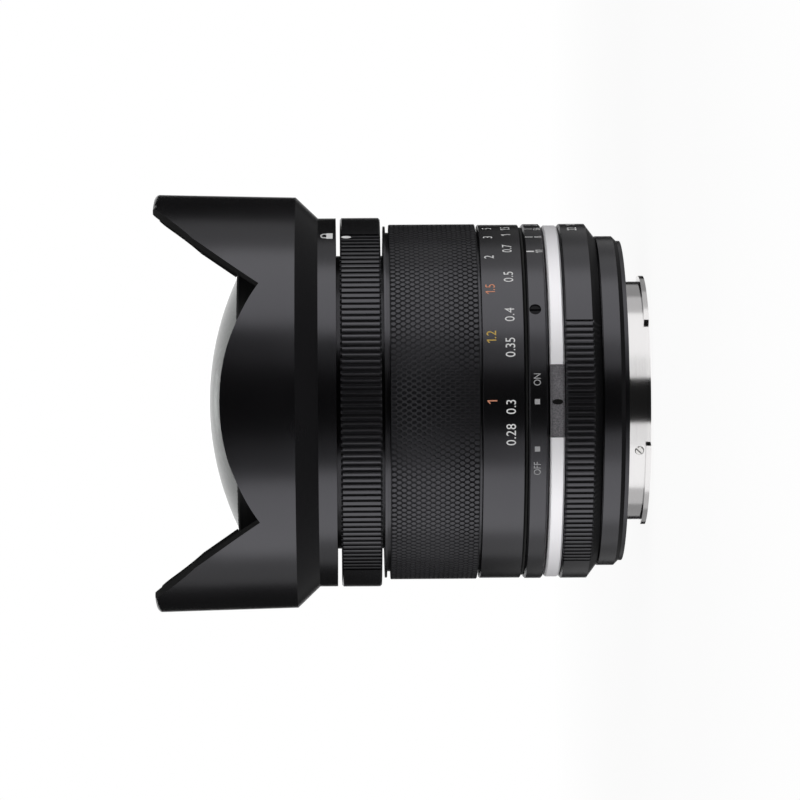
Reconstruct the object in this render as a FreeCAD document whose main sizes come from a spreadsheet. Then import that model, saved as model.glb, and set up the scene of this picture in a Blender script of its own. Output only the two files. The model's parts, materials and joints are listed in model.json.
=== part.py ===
import FreeCAD, Part

import math
import os

import Sketcher

# Wide-angle prime lens for an SLR body, in millimetres.
# The origin is the centre of the mount's flange plane, and +Z is the optical axis towards the
# subject. The camera's top, where the index lines are, is on +X.
# Every solid is turned, milled or stamped as the real piece is, and its sizes live in the sheet.

Vector = FreeCAD.Vector

SIZES = [
    # Mount and rear barrel
    ("lug_tube_length", 4.8, "bayonet tube behind the flange plane"),
    ("lug_tube_radius", 24.9, "outside of the bayonet tube"),
    ("mount_bore_radius", 21.6, "inside of the bayonet"),
    ("lug_radius", 26.1, "outside of the three lugs"),
    ("lug_thickness", 1.0, "lugs along the axis"),
    ("lug_span", 60.0, "each lug round the axis, in degrees"),
    ("lug_turn", -20.8, "middle of the first lug from the X axis, in degrees"),
    ("seat_relief_radius", 26.7, "recess inside the flange seat"),
    ("seat_relief_depth", 0.3, "depth of that recess"),
    ("mount_flange_radius", 32.4, "outside of the flange"),
    ("mount_flange_thickness", 2.6, "flange along the axis"),
    ("stop_screw_turn", -24.3, "bayonet stop screw from the front, in degrees"),
    ("stop_screw_height", -2.5, "stop screw along the axis"),
    ("stop_screw_radius", 0.9, "stop screw"),
    ("stop_screw_lift", 0.25, "stop screw proud of the tube"),
    ("screw_slot_share", 0.32, "driver slot's width as a share of the screw's radius"),
    ("screw_slot_depth", 0.4, "driver slots of the stop screw and the barrel screws"),
    ("lug_count", 3, "lugs round the axis"),
    ("mount_screw_count", 4, "mount screws"),
    ("mount_screw_turn", 40.0, "first mount screw from the X axis, in degrees"),
    ("mount_screw_radius", 0.8, "mount screws"),
    ("mount_head_radius", 1.5, "mount screws' heads"),
    ("mount_head_depth", 1.2, "mount screws' heads along the axis"),
    ("screw_fit", 0.05, "clearance round a screw"),
    ("gasket_width", 1.0, "gasket across the seat"),
    ("gasket_thickness", 0.8, "gasket along the axis"),
    ("gasket_setback", 0.1, "gasket in front of the flange plane"),
    ("base_radius", 34.4, "outside of the rear barrel's base"),
    ("base_height", 5.2, "front face of the base"),
    ("base_chamfer", 0.9, "rear edge of the base"),
    ("web_thickness", 1.6, "web in front of the mount flange"),
    ("web_bore_radius", 19.5, "hole in the web"),
    ("baffle_height", 1.2, "rear face of the baffle"),
    ("baffle_thickness", 0.8, "baffle along the axis"),
    ("baffle_opening_width", 24.0, "baffle's opening across the picture"),
    ("baffle_opening_height", 16.0, "baffle's opening up the picture"),
    ("baffle_clearance", 0.6, "between the baffle and the last glass"),
    ("barrel_screw_count", 3, "screws between the barrels, and depth ring screws"),
    ("barrel_screw_radius", 0.9, "screws between the barrels"),
    ("sleeve_radius", 33.0, "barrel under the turning rings"),
    ("barrel_wall", 2.2, "wall of the barrel under the rings"),
    ("spigot_length", 3.6, "guide barrel inside the rear barrel"),
    ("spigot_wall", 1.5, "wall of that spigot"),
    # Rings, from the mount forwards
    ("ring_radius", 37.0, "outside of the aperture and fixed rings"),
    ("ring_gap", 0.2, "gap between turning rings"),
    ("index_gap", 0.4, "gap on the mount side of the fixed ring"),
    ("scale_gap", 0.7, "gap between fixed ring and distance ring"),
    ("lock_gap", 0.6, "gap between focus flange and lock ring"),
    ("hood_gap", 0.85, "gap between lock ring and hood"),
    ("running_fit", 0.05, "radial clearance of a ring on its barrel"),
    ("ring_chamfer", 0.35, "edge chamfer of the rings"),
    ("aperture_width", 7.7, "aperture ring along the axis"),
    ("aperture_taper_length", 2.1, "tapered rear of the aperture ring"),
    ("aperture_rear_radius", 34.2, "rear edge of the aperture ring"),
    ("land_width", 1.8, "bearing lands inside the aperture ring"),
    ("relief_depth", 1.75, "relief between those lands"),
    ("declick_width", 3.0, "de-click ring along the axis"),
    ("declick_radius", 36.7, "outside of the de-click ring"),
    ("declick_pad_sweep", 23.2, "sunk pad of the de-click ring, in degrees"),
    ("declick_pad_depth", 0.12, "depth of that pad"),
    ("index_width", 3.9, "fixed depth-of-field ring along the axis"),
    ("index_screw_turn", 30.0, "first depth ring screw from the front, in degrees"),
    ("index_screw_height", 2.3, "depth ring screws from the ring's rear face"),
    ("index_screw_radius", 1.15, "depth ring screws"),
    ("index_screw_sink", 0.3, "depth ring screws below the surface"),
    ("index_slot_depth", 0.6, "driver slots of the depth ring screws"),
    ("ring_wall", 2.1, "wall of the fixed ring and the hood's collar"),
    ("scale_width", 8.55, "distance ring along the axis"),
    ("scale_radius", 36.9, "outside of the distance ring"),
    ("grip_groove", 0.5, "groove between distance ring and grip"),
    ("grip_width", 17.9, "rubber grip along the axis"),
    ("grip_radius", 37.05, "outside of the rubber grip"),
    ("focus_sleeve_radius", 35.4, "outside of the focus sleeve"),
    ("focus_flange_gap", 0.75, "groove between grip and flange"),
    ("focus_flange_width", 0.45, "thin flange along the axis"),
    ("focus_flange_radius", 36.7, "outside of the thin flange"),
    ("lock_width", 8.3, "lock ring along the axis"),
    ("lock_radius", 38.5, "outside of the lock ring"),
    ("neck_radius", 30.6, "neck that the lock ring turns on"),
    ("neck_wall", 1.8, "wall of the neck"),
    ("lock_relief_depth", 3.6, "relief inside the lock ring"),
    ("lock_land", 1.6, "bearing lands inside the lock ring"),
    ("brake_width", 3.6, "brake ring across its face"),
    ("brake_thickness", 1.0, "brake ring along the axis"),
    ("brake_gap", 0.15, "brake ring off its neighbours while the lock is free"),
    # Ribs on the lock ring and the aperture ring
    ("rib_pitch", 2.0, "from rib to rib, in degrees"),
    ("rib_groove_width", 0.6, "groove between two ribs"),
    ("rib_depth", 0.4, "depth of the grooves"),
    ("lock_rib_start", -63.0, "first groove of the lock ring, in degrees from the front"),
    ("lock_rib_sweep", 126.0, "grooves of the lock ring, in degrees"),
    ("aperture_rib_start", -62.2, "first groove of the aperture ring, in degrees from the front"),
    ("aperture_rib_sweep", 88.0, "grooves of the aperture ring, in degrees"),
    # Hood
    ("hood_collar_radius", 38.45, "collar behind the hood's cone"),
    ("hood_collar_length", 3.7, "collar along the axis"),
    ("hood_cone_length", 4.6, "cone along the axis"),
    ("hood_flare", 0.7, "front of the hood beyond the cone's large end, along a radius"),
    ("hood_length", 29.2, "from the cone to the front of the long petals"),
    ("hood_wall", 1.7, "wall of the hood's petals"),
    ("hood_ledge", 1.25, "ledge under the cover ring, across"),
    ("hood_edge", 0.9, "rounding of the front edge"),
    ("hood_floor", 2.4, "floor of the hood round the neck"),
    ("short_petal_setback", 14.2, "tip of the short petals behind the long ones' front"),
    ("petal_shoulder_setback", 16.2, "short petal a quarter of the way down, behind that front"),
    ("petal_shoulder_turn", 17.2, "where that is, in degrees from its middle"),
    ("notch_setback", 22.0, "bottom of the notches behind that front"),
    ("notch_turn", 34.0, "notches from the middle of the short petal, in degrees"),
    ("long_edge_setback", 8.5, "long petal's edge at its bend, behind that front"),
    ("long_edge_turn", 50.5, "where that is, in degrees from the short petal's middle"),
    ("long_corner_turn", 68.0, "front corner of the long petal, from the short petal's middle"),
    ("long_edge_bow", 1.65, "how far the long petal's edge bows out below its bend"),
    ("long_corner_bow", 1.75, "how far it bows out above its bend"),
    ("short_edge_bow", 0.2, "how far the short petal's edge bows out below its shoulder"),
    ("cover_ring_rise", 4.9, "rear face of the cover ring in front of the cone"),
    ("cover_ring_width", 7.75, "cover ring across, at the cone"),
    ("cover_ring_thickness", 1.4, "cover ring along the axis"),
    ("cover_ring_clearance", 0.4, "between the cover ring and the front cell"),
    ("hood_nut_width", 3.4, "hood retaining ring across"),
    ("hood_nut_thickness", 1.6, "hood retaining ring along the axis"),
    # Focus
    ("focus_turn", 101.0, "turn of the focus ring, in degrees"),
    ("focus_travel", 1.1, "forward travel of the optical unit"),
    ("roller_radius", 1.3, "guide rollers"),
    ("roller_reach", 1.3, "guide rollers into the focus sleeve"),
    ("roller_count", 3, "guide rollers round the axis"),
    ("roller_setback", 3.0, "guide rollers in front of the sliding barrel's rear end"),
    ("roller_turn", 20.0, "first roller from the front, in degrees"),
    ("roller_stud_radius", 0.8, "studs of the rollers"),
    ("roller_fit", 0.05, "clearance beside a roller"),
    ("slot_margin", 0.25, "spare length at each end of a roller's slot"),
    ("groove_margin", 2.7, "spare turn at each end of a helical groove, in degrees"),
    ("groove_floor_gap", 0.15, "between a roller's end and its groove"),
    ("stop_key_turn", 70.0, "focus stop key from the X axis, in degrees"),
    ("stop_key_width", 2.4, "focus stop key round the axis"),
    ("stop_key_height", 1.9, "focus stop key along the axis"),
    # Optical unit
    ("slide_wall", 1.8, "wall of the sliding barrel"),
    ("slide_end_gap", 0.5, "between the sliding barrel's shoulder and the neck at closest focus"),
    ("slide_length", 10.2, "wide part of the sliding barrel along the axis"),
    ("slide_neck_length", 12.8, "narrow part of the sliding barrel along the axis"),
    ("middle_flange_setback", 5.0, "middle cell's flange behind the front of that part"),
    ("front_cell_wall", 3.0, "wall of the front cell round the front glass"),
    ("front_cell_gap", 2.8, "between the front cell's step and the neck"),
    ("front_cell_setback", 0.6, "front end of the front cell behind the glass's edge"),
    ("skirt_clearance", 0.1, "front cell inside the sliding barrel"),
    ("retainer_overlap", 0.8, "front retaining ring over the glass"),
    ("cell_wall", 1.2, "wall of the middle and rear cells"),
    ("cell_flange", 2.0, "flanges of the cells along the axis"),
    ("glass_seat", 0.05, "clearance between glass and metal"),
    ("spacer_width", 0.8, "spacers across"),
    ("thread_ring", 0.8, "small retaining rings along the axis"),
    # Iris
    ("blade_count", 9, "iris blades"),
    ("iris_open_radius", 9.3, "opening with the blades at rest against the housing"),
    ("blade_outer_radius", 14.0, "outer edge of an open blade"),
    ("blade_sweep", 96.0, "length of a blade round the axis, in degrees"),
    ("blade_thickness", 0.12, "blade sheet"),
    ("blade_layer", 0.2, "from one blade's sheet to the next"),
    ("pivot_circle", 15.2, "radius of the circle of pivots"),
    ("pivot_pin_radius", 0.45, "pivot pins"),
    ("drive_pin_radius", 0.4, "drive pins"),
    ("drive_arm", 5.0, "from pivot to drive pin"),
    ("heel_radius", 1.1, "rounded heel of a blade"),
    ("pin_fit", 0.05, "clearance round a pin"),
    ("blade_turn", 31.4, "turn of a blade from open to closed, in degrees"),
    ("aperture_open_turn", 32.0, "from the rest mark to fully open, in degrees"),
    ("aperture_close_turn", 16.0, "from the rest mark to fully closed, in degrees"),
    ("iris_plate", 0.6, "iris housing's plate along the axis"),
    ("iris_gap", 2.4, "between that plate's rear face and the ninth element"),
    ("iris_hole_radius", 9.6, "hole in the plate"),
    ("iris_wall", 1.4, "wall of the iris housing"),
    ("cam_ring_radius", 20.05, "outside of the cam ring"),
    ("cam_ring_bore", 14.6, "inside of the cam ring"),
    ("cam_ring_thickness", 0.8, "cam ring along the axis"),
    # Aperture lever and click spring
    ("lever_width", 2.4, "lever round the axis"),
    ("lever_thickness", 1.1, "lever along a radius"),
    ("lever_radius", 28.4, "outside of the lever's bar"),
    ("lever_turn", 120.0, "lever from the X axis, in degrees"),
    ("lever_foot_height", 2.0, "lever's foot along the axis"),
    ("lever_reach", 0.4, "lever beyond the cam ring at closest focus"),
    ("click_step", 8.0, "from stop to stop, in degrees"),
    ("click_turn", -90.0, "click spring from the X axis, in degrees"),
    ("click_nose_radius", 0.6, "nose of the click spring"),
    ("click_spring_width", 1.1, "click spring along the axis"),
    ("click_spring_thickness", 0.25, "click spring's sheet"),
    ("click_spring_sweep", 28.0, "length of the click spring, in degrees"),
    ("click_pocket_depth", 1.1, "pocket behind the click spring"),
    ("moving_room", 2.0, "spare turn of the slots for lever and fork, in degrees"),
    ("fixed_room", 1.0, "spare turn of the pockets for key and spring, in degrees"),
]

# Each element: front radius of curvature, rear radius, thickness, rim radius, front and rear clear
# radius as a share of the rim, and the air before it. A positive radius bulges forwards, and no
# air means cemented.
ELEMENTS = [
    ("front_meniscus", 61.0, 22.0, 3.0, 30.0, 1.0, 0.65, 0.0),
    ("second_meniscus", 28.0, 14.5, 2.2, 20.5, 0.966, 0.63, 5.0),
    ("third_meniscus", 60.0, 18.0, 1.6, 14.5, 1.0, 0.897, 10.8),
    ("fourth_convex", 45.0, -22.0, 6.0, 11.5, 1.0, 1.0, 5.9),
    ("fifth_concave", -22.0, 60.0, 1.5, 11.5, 1.0, 1.0, 0.0),
    ("sixth_convex", 30.0, -60.0, 4.0, 11.0, 1.0, 1.0, 2.5),
    ("seventh_convex", 35.0, -20.0, 6.0, 11.0, 1.0, 1.0, 3.0),
    ("eighth_meniscus", -20.0, -50.0, 1.2, 11.0, 1.0, 1.0, 0.0),
    ("ninth_concave", -25.0, 25.0, 1.2, 9.5, 1.0, 1.0, 5.8),
    ("tenth_convex", 25.0, -22.0, 5.0, 9.5, 1.0, 1.0, 0.0),
    ("eleventh_convex", 28.0, -20.0, 6.0, 10.5, 1.0, 1.0, 2.8),
    ("twelfth_meniscus", -20.0, 70.0, 1.2, 10.5, 1.0, 1.0, 0.0),
    ("thirteenth_convex", 70.0, -45.0, 3.5, 12.0, 1.0, 1.0, 2.0),
    ("rear_meniscus", -40.0, -90.0, 1.6, 13.5, 1.0, 1.0, 1.6),
]
ELEMENT_SIZES = ["front_curve", "rear_curve", "thickness", "rim", "front_share", "rear_share", "air"]


class Size:
    """A size: its value here, and the formula that ties a feature to the sheet."""

    def __init__(self, value, formula):
        self.value = float(value)
        self.formula = formula

    def __add__(self, other):
        other = as_size(other)
        return Size(self.value + other.value, f"({self.formula} + {other.formula})")

    def __radd__(self, other):
        return as_size(other) + self

    def __sub__(self, other):
        other = as_size(other)
        return Size(self.value - other.value, f"({self.formula} - {other.formula})")

    def __rsub__(self, other):
        return as_size(other) - self

    def __mul__(self, other):
        other = as_size(other)
        return Size(self.value * other.value, f"({self.formula} * {other.formula})")

    def __rmul__(self, other):
        return as_size(other) * self

    def __truediv__(self, other):
        other = as_size(other)
        return Size(self.value / other.value, f"({self.formula} / {other.formula})")

    def __rtruediv__(self, other):
        return as_size(other) / self

    def __neg__(self):
        return as_size(0) - self


def as_size(number):
    if isinstance(number, Size):
        return number
    return Size(number, f"({number})")


def root(size):
    return Size(math.sqrt(size.value), f"sqrt({size.formula})")


def sine(angle):
    return Size(math.sin(math.radians(angle.value)), f"sin({angle.formula})")


def cosine(angle):
    return Size(math.cos(math.radians(angle.value)), f"cos({angle.formula})")


def tangent(angle):
    return Size(math.tan(math.radians(angle.value)), f"tan({angle.formula})")


class Dimensions:
    """The sheet's cells by name: dim.hood_length is the cell hood_length."""

    def __init__(self, sheet):
        self.sheet = sheet

    def __getattr__(self, alias):
        return Size(self.sheet.get(alias), f"Sizes.{alias}")


# The document and its sheet
doc = FreeCAD.newDocument("WideAngleLens")
sheet = doc.addObject("Spreadsheet::Sheet", "Sizes")
sheet.Label = "Sizes"


def fill_sheet():
    rows = list(SIZES)
    for element in ELEMENTS:
        for part_name, value in zip(ELEMENT_SIZES, element[1:]):
            rows = rows + [(f"{element[0]}_{part_name}", value, f"{part_name} of the {element[0]}")]
    for row, (alias, value, meaning) in enumerate(rows, start=1):
        sheet.set(f"A{row}", meaning)
        sheet.set(f"B{row}", str(value))
        sheet.setAlias(f"B{row}", alias)
    doc.recompute()


fill_sheet()
dim = Dimensions(sheet)
pieces = []


def bind(feature, path, size):
    """Ties one property to the sheet, and sets it to the same value at once."""
    feature.setExpression(path, as_size(size).formula)


def new_body(name):
    body = doc.addObject("PartDesign::Body", name)
    body.Label = name
    pieces.append(body)
    return body


def origin_feature(body, role):
    for feature in body.Origin.OriginFeatures:
        if feature.Role == role:
            return feature
    raise ValueError(role)


def sketch_on(body, role, lift=0, turn=None, turn_axis=Vector(0, 0, 1)):
    """A sketch on an origin plane, lifted along its normal and turned about one of its axes."""
    sketch = body.newObject("Sketcher::SketchObject", f"{body.Name}_sketch")
    sketch.AttachmentSupport = [(origin_feature(body, role), "")]
    sketch.MapMode = "FlatFace"
    lift = as_size(lift)
    if turn is not None and abs(turn.value) > 0:
        offset = FreeCAD.Rotation(turn_axis, turn.value).multVec(Vector(0, 0, 1))
        sketch.AttachmentOffset = FreeCAD.Placement(
            offset * lift.value, FreeCAD.Rotation(turn_axis, turn.value)
        )
        bind(sketch, "AttachmentOffset.Rotation.Angle", turn)
        if turn_axis.y:
            bind(sketch, "AttachmentOffset.Base.x", lift * sine(turn))
            bind(sketch, "AttachmentOffset.Base.z", lift * cosine(turn))
        else:
            bind(sketch, "AttachmentOffset.Base.z", lift)
    else:
        sketch.AttachmentOffset = FreeCAD.Placement(Vector(0, 0, lift.value), FreeCAD.Rotation())
        bind(sketch, "AttachmentOffset.Base.z", lift)
    return sketch


ON_AXIS = "on axis"
ROUND_END = "round end"


def draw(sketch, corners):
    """A closed outline. A corner is (across, up) or (across, up, bend): the stretch that ends at
    it is straight, an arc about a point of the upright axis (ON_AXIS), the round end of a slot to
    the right of its way (ROUND_END), or an arc that bulges to the left of its way by the size
    bend (to the right where bend is below zero)."""
    corners = [(as_size(c[0]), as_size(c[1]), c[2] if len(c) > 2 else None) for c in corners]
    geometry = []
    ends = []
    for index, (across, up, bend) in enumerate(corners):
        before = corners[index - 1]
        start = Vector(before[0].value, before[1].value, 0)
        end = Vector(across.value, up.value, 0)
        if bend is None:
            geometry.append(Part.LineSegment(start, end))
            ends.append((1, 2))
            continue
        middle = arc_middle(start, end, bend)
        bulges_right = (middle - start).cross(end - middle).z > 0
        if bulges_right:
            geometry.append(Part.Arc(start, middle, end))
            ends.append((1, 2))
        else:
            geometry.append(Part.Arc(end, middle, start))
            ends.append((2, 1))
    sketch.addGeometry(geometry, False)
    ties = []
    sizes = []
    count = len(corners)
    for index, (across, up, bend) in enumerate(corners):
        following = (index + 1) % count
        here = ends[index][1]
        ties.append(Sketcher.Constraint("Coincident", index, here, following, ends[following][0]))
        if abs(across.value) < 1e-9:
            ties.append(Sketcher.Constraint("PointOnObject", index, here, -2))
        else:
            sizes.append((len(ties), across))
            ties.append(Sketcher.Constraint("DistanceX", -1, 1, index, here, across.value))
        if abs(up.value) < 1e-9:
            ties.append(Sketcher.Constraint("PointOnObject", index, here, -1))
        else:
            sizes.append((len(ties), up))
            ties.append(Sketcher.Constraint("DistanceY", -1, 1, index, here, up.value))
        if bend is None:
            continue
        if bend is ON_AXIS:
            ties.append(Sketcher.Constraint("PointOnObject", index, 3, -2))
        elif bend is ROUND_END:
            sizes.append((len(ties), up))
            ties.append(Sketcher.Constraint("DistanceY", -1, 1, index, 3, up.value))
        else:
            radius = bulge_radius(corners[index - 1], (across, up), as_size(bend))
            sizes.append((len(ties), radius))
            ties.append(Sketcher.Constraint("Radius", index, radius.value))
    sketch.addConstraint(ties)
    for place, size in sizes:
        bind(sketch, f"Constraints[{place}]", size)


def arc_middle(start, end, bend):
    chord = end - start
    if bend is ON_AXIS:
        across = end.x * end.x - start.x * start.x
        centre = ((end.y * end.y - start.y * start.y) + across) / (2 * (end.y - start.y))
        middle = Vector((start.x + end.x) / 2, (start.y + end.y) / 2 - centre, 0)
        radius = math.hypot(start.x, start.y - centre)
        return middle.normalize() * radius + Vector(0, centre, 0)
    left = Vector(-chord.y, chord.x, 0).normalize()
    if bend is ROUND_END:
        return (start + end) * 0.5 - left * (chord.Length / 2)
    return (start + end) * 0.5 + left * as_size(bend).value


def bulge_radius(before, corner, bulge):
    across = corner[0] - before[0]
    up = corner[1] - before[1]
    if bulge.value < 0:
        bulge = -bulge
    return ((across * across + up * up) / 4 + bulge * bulge) / (2 * bulge)


def box_corners(left, right, low, high):
    return [(left, low), (right, low), (right, high), (left, high)]


def slot_corners(half, low, high):
    """A slot along the axis with round ends, whose ends are centred on low and high."""
    return [(-half, low), (half, low, ROUND_END), (half, high), (-half, high, ROUND_END)]


def finish_feature(feature, sketch):
    feature.Profile = (sketch, [""])
    feature.Refine = True
    return feature


def turn_on(body, corners):
    """Material turned about the optical axis: corners are (radius, height)."""
    sketch = sketch_on(body, "XZ_Plane")
    draw(sketch, corners)
    turned = finish_feature(body.newObject("PartDesign::Revolution", f"{body.Name}_turned"), sketch)
    turned.ReferenceAxis = (sketch, ["V_Axis"])
    turned.Angle = 360
    return turned


def turned(name, corners):
    body = new_body(name)
    turn_on(body, corners)
    return body


def turn_off(body, corners, middle, sweep):
    """A groove turned part of the way round: middle is measured from the X axis."""
    sketch = sketch_on(body, "XZ_Plane", 0, as_size(middle), Vector(0, 1, 0))
    draw(sketch, corners)
    groove = finish_feature(body.newObject("PartDesign::Groove", f"{body.Name}_groove"), sketch)
    groove.ReferenceAxis = (sketch, ["V_Axis"])
    groove.Midplane = True
    bind(groove, "Angle", sweep)
    return groove


def pad(body, sketch, length):
    feature = finish_feature(body.newObject("PartDesign::Pad", f"{body.Name}_pad"), sketch)
    bind(feature, "Length", length)
    return feature


def pocket(body, sketch, length):
    """Cuts along the sketch's normal, which is outwards or upwards here."""
    feature = finish_feature(body.newObject("PartDesign::Pocket", f"{body.Name}_pocket"), sketch)
    feature.Reversed = True
    bind(feature, "Length", length)
    return feature


def radial_sketch(body, turn, start):
    """A sketch that faces outwards at an angle from the front of the lens, start from the axis.
    Its across is round the lens and its up is along the optical axis."""
    return sketch_on(body, "XZ_Plane", start, turn, Vector(0, 1, 0))


def disc(sketch, up, radius, across=0):
    across = as_size(across)
    up = as_size(up)
    radius = as_size(radius)
    centre = Vector(across.value, up.value, 0)
    sketch.addGeometry([Part.Circle(centre, Vector(0, 0, 1), radius.value)], False)
    ties = [Sketcher.Constraint("Radius", 0, radius.value)]
    bound = [(0, radius)]
    if abs(across.value) < 1e-9:
        ties.append(Sketcher.Constraint("PointOnObject", 0, 3, -2))
    else:
        bound.append((len(ties), across))
        ties.append(Sketcher.Constraint("DistanceX", -1, 1, 0, 3, across.value))
    if abs(up.value) < 1e-9:
        ties.append(Sketcher.Constraint("PointOnObject", 0, 3, -1))
    else:
        bound.append((len(ties), up))
        ties.append(Sketcher.Constraint("DistanceY", -1, 1, 0, 3, up.value))
    sketch.addConstraint(ties)
    for place, size in bound:
        bind(sketch, f"Constraints[{place}]", size)


def repeat(body, features, count, spacing=None):
    """Copies of features round the optical axis, evenly round it where no spacing is given."""
    if spacing is None:
        spacing = 360 / count
    pattern = body.newObject("PartDesign::PolarPattern", f"{body.Name}_pattern")
    pattern.Originals = features
    pattern.Axis = (origin_feature(body, "Z_Axis"), [""])
    pattern.Mode = "Spacing"
    pattern.Refine = True
    bind(pattern, "Occurrences", count)
    bind(pattern, "Offset", spacing)
    body.Tip = pattern
    return pattern


# Heights of the rings, stacked from the flange plane
base_top = dim.base_height
aperture_rear = base_top + dim.ring_gap
aperture_front = aperture_rear + dim.aperture_width
declick_rear = aperture_front + dim.ring_gap
declick_front = declick_rear + dim.declick_width
index_rear = declick_front + dim.index_gap
index_front = index_rear + dim.index_width
scale_rear = index_front + dim.scale_gap
scale_front = scale_rear + dim.scale_width
grip_rear = scale_front + dim.grip_groove
grip_front = grip_rear + dim.grip_width
flange_rear = grip_front + dim.focus_flange_gap
flange_front = flange_rear + dim.focus_flange_width
lock_rear = flange_front + dim.lock_gap
lock_front = lock_rear + dim.lock_width
hood_rear = lock_front + dim.hood_gap
collar_front = hood_rear + dim.hood_collar_length
waist_height = collar_front + dim.hood_cone_length
floor_front = hood_rear + dim.hood_floor
neck_front = floor_front + dim.hood_nut_thickness
hood_height = waist_height + dim.hood_length
cover_ring_rear = waist_height + dim.cover_ring_rise
neck_step = flange_rear
neck_inner_step = neck_step - dim.barrel_wall
slide_shoulder = neck_inner_step - dim.focus_travel - dim.slide_end_gap
slide_rear = slide_shoulder - dim.slide_length
slide_front = slide_shoulder + dim.slide_neck_length
roller_height = slide_rear + dim.roller_setback
front_cell_step = neck_front + dim.front_cell_gap


# Glass

class Element:
    """One glass element at rest: its faces' heights on the axis and at any radius."""

    def __init__(self, name, rear):
        self.name = name
        for part_name in ELEMENT_SIZES:
            setattr(self, part_name, getattr(dim, f"{name}_{part_name}"))
        self.rear = rear
        self.front = rear + self.thickness
        self.front_clear = self.rim * self.front_share
        self.rear_clear = self.rim * self.rear_share

    def front_at(self, radius):
        return surface(self.front, self.front_curve, radius)

    def rear_at(self, radius):
        return surface(self.rear, self.rear_curve, radius)

    def front_edge(self):
        return self.front_at(self.front_clear)

    def rear_edge(self):
        return self.rear_at(self.rear_clear)


def surface(vertex, curve, radius):
    depth = root(curve * curve - radius * radius)
    if curve.value > 0:
        return vertex - (curve - depth)
    return vertex + (-curve - depth)


def stack_elements():
    """The elements in their order from the front, stacked forwards from the rear baffle."""
    elements = []
    height = dim.baffle_height + dim.baffle_thickness + dim.baffle_clearance
    for row in reversed(ELEMENTS):
        element = Element(row[0], height)
        elements.insert(0, element)
        height = element.front + element.air
    return elements


lenses = stack_elements()
(first, second, third, fourth, fifth, sixth, seventh,
 eighth, ninth, tenth, eleventh, twelfth, thirteenth, last) = lenses


# Radii that several pieces share
ring_bore = dim.sleeve_radius + dim.running_fit
sleeve_bore = dim.sleeve_radius - dim.barrel_wall
neck_bore = dim.neck_radius - dim.neck_wall
index_seat = dim.ring_radius - dim.ring_wall
front_cell_radius = first.rim + dim.front_cell_wall
waist_radius = front_cell_radius + dim.cover_ring_clearance + dim.cover_ring_width + dim.hood_wall
hood_front_radius = waist_radius + dim.hood_flare

# How far a cut reaches beyond what it cuts
cut = 1.0


def rib_grooves(body, radius, low, high, start, sweep):
    """Straight grooves between the ribs of a ring, in one zone and its mirror across the lens."""
    count = Size(math.floor(sweep.value / dim.rib_pitch.value) + 1,
                 f"(floor({sweep.formula} / {dim.rib_pitch.formula}) + 1)")
    for side in (start, 180 - start - sweep):
        sketch = radial_sketch(body, side, radius - dim.rib_depth)
        half = dim.rib_groove_width / 2
        draw(sketch, box_corners(-half, half, low - cut, high + cut))
        groove = pocket(body, sketch, dim.rib_depth + cut)
        repeat(body, [groove], count, dim.rib_pitch)


# The mount end

mount_screw_circle = (dim.seat_relief_radius + dim.mount_flange_radius) / 2
base_rear = dim.gasket_setback + dim.gasket_thickness
web_rear = dim.mount_flange_thickness
web_front = web_rear + dim.web_thickness
barrel_screw_height = index_rear - dim.spigot_length / 2
spigot_bore = sleeve_bore - dim.spigot_wall
lever_low = (aperture_rear + aperture_front - dim.lever_foot_height) / 2
lever_high = lever_low + dim.lever_foot_height
aperture_sweep = dim.aperture_open_turn + dim.aperture_close_turn
sweep_middle = (dim.aperture_close_turn - dim.aperture_open_turn) / 2
click_height = aperture_front - dim.land_width / 2


def degrees_across(width, radius):
    """The turn, in degrees, that a width takes up on a circle."""
    return width / radius * (180 / math.pi)


def bayonet_mount():
    tube = dim.lug_tube_radius
    bore = dim.mount_bore_radius
    seat = dim.seat_relief_radius
    body = turned("bayonet_mount", [
        (bore, -dim.lug_tube_length),
        (tube, -dim.lug_tube_length),
        (tube, dim.seat_relief_depth),
        (seat, dim.seat_relief_depth),
        (seat, 0),
        (dim.mount_flange_radius, 0),
        (dim.mount_flange_radius, web_rear),
        (bore, web_rear),
    ])
    half = dim.lug_span / 2
    start = tube - dim.ring_chamfer
    end = dim.lug_radius
    sketch = sketch_on(body, "XY_Plane", -dim.lug_tube_length, dim.lug_turn)
    draw(sketch, [
        (start * cosine(half), -(start * sine(half)), start * (1 - cosine(half))),
        (end * cosine(half), -(end * sine(half))),
        (end * cosine(half), end * sine(half), -(end * (1 - cosine(half)))),
        (start * cosine(half), start * sine(half)),
    ])
    lug = pad(body, sketch, dim.lug_thickness)
    repeat(body, [lug], dim.lug_count)
    stop_hole = radial_sketch(body, dim.stop_screw_turn, bore - cut)
    disc(stop_hole, dim.stop_screw_height, dim.stop_screw_radius + dim.screw_fit)
    pocket(body, stop_hole, tube - bore + 2 * cut)
    screw_hole = sketch_on(body, "XY_Plane", -cut, dim.mount_screw_turn)
    disc(screw_hole, 0, dim.mount_screw_radius + dim.screw_fit, mount_screw_circle)
    hole = pocket(body, screw_hole, web_rear + 2 * cut)
    head_hole = sketch_on(body, "XY_Plane", -cut, dim.mount_screw_turn)
    disc(head_hole, 0, dim.mount_head_radius + dim.screw_fit, mount_screw_circle)
    sink = pocket(body, head_hole, cut + dim.mount_head_depth)
    repeat(body, [hole, sink], dim.mount_screw_count)


def mount_screws():
    body = new_body("mount_screws")
    sketch = sketch_on(body, "XY_Plane", dim.screw_fit, dim.mount_screw_turn)
    disc(sketch, 0, dim.mount_head_radius, mount_screw_circle)
    head = pad(body, sketch, dim.mount_head_depth - dim.screw_fit)
    sketch = sketch_on(body, "XY_Plane", dim.mount_head_depth, dim.mount_screw_turn)
    disc(sketch, 0, dim.mount_screw_radius, mount_screw_circle)
    shaft = pad(body, sketch, web_front - dim.mount_head_depth)
    repeat(body, [head, shaft], dim.mount_screw_count)


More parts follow.
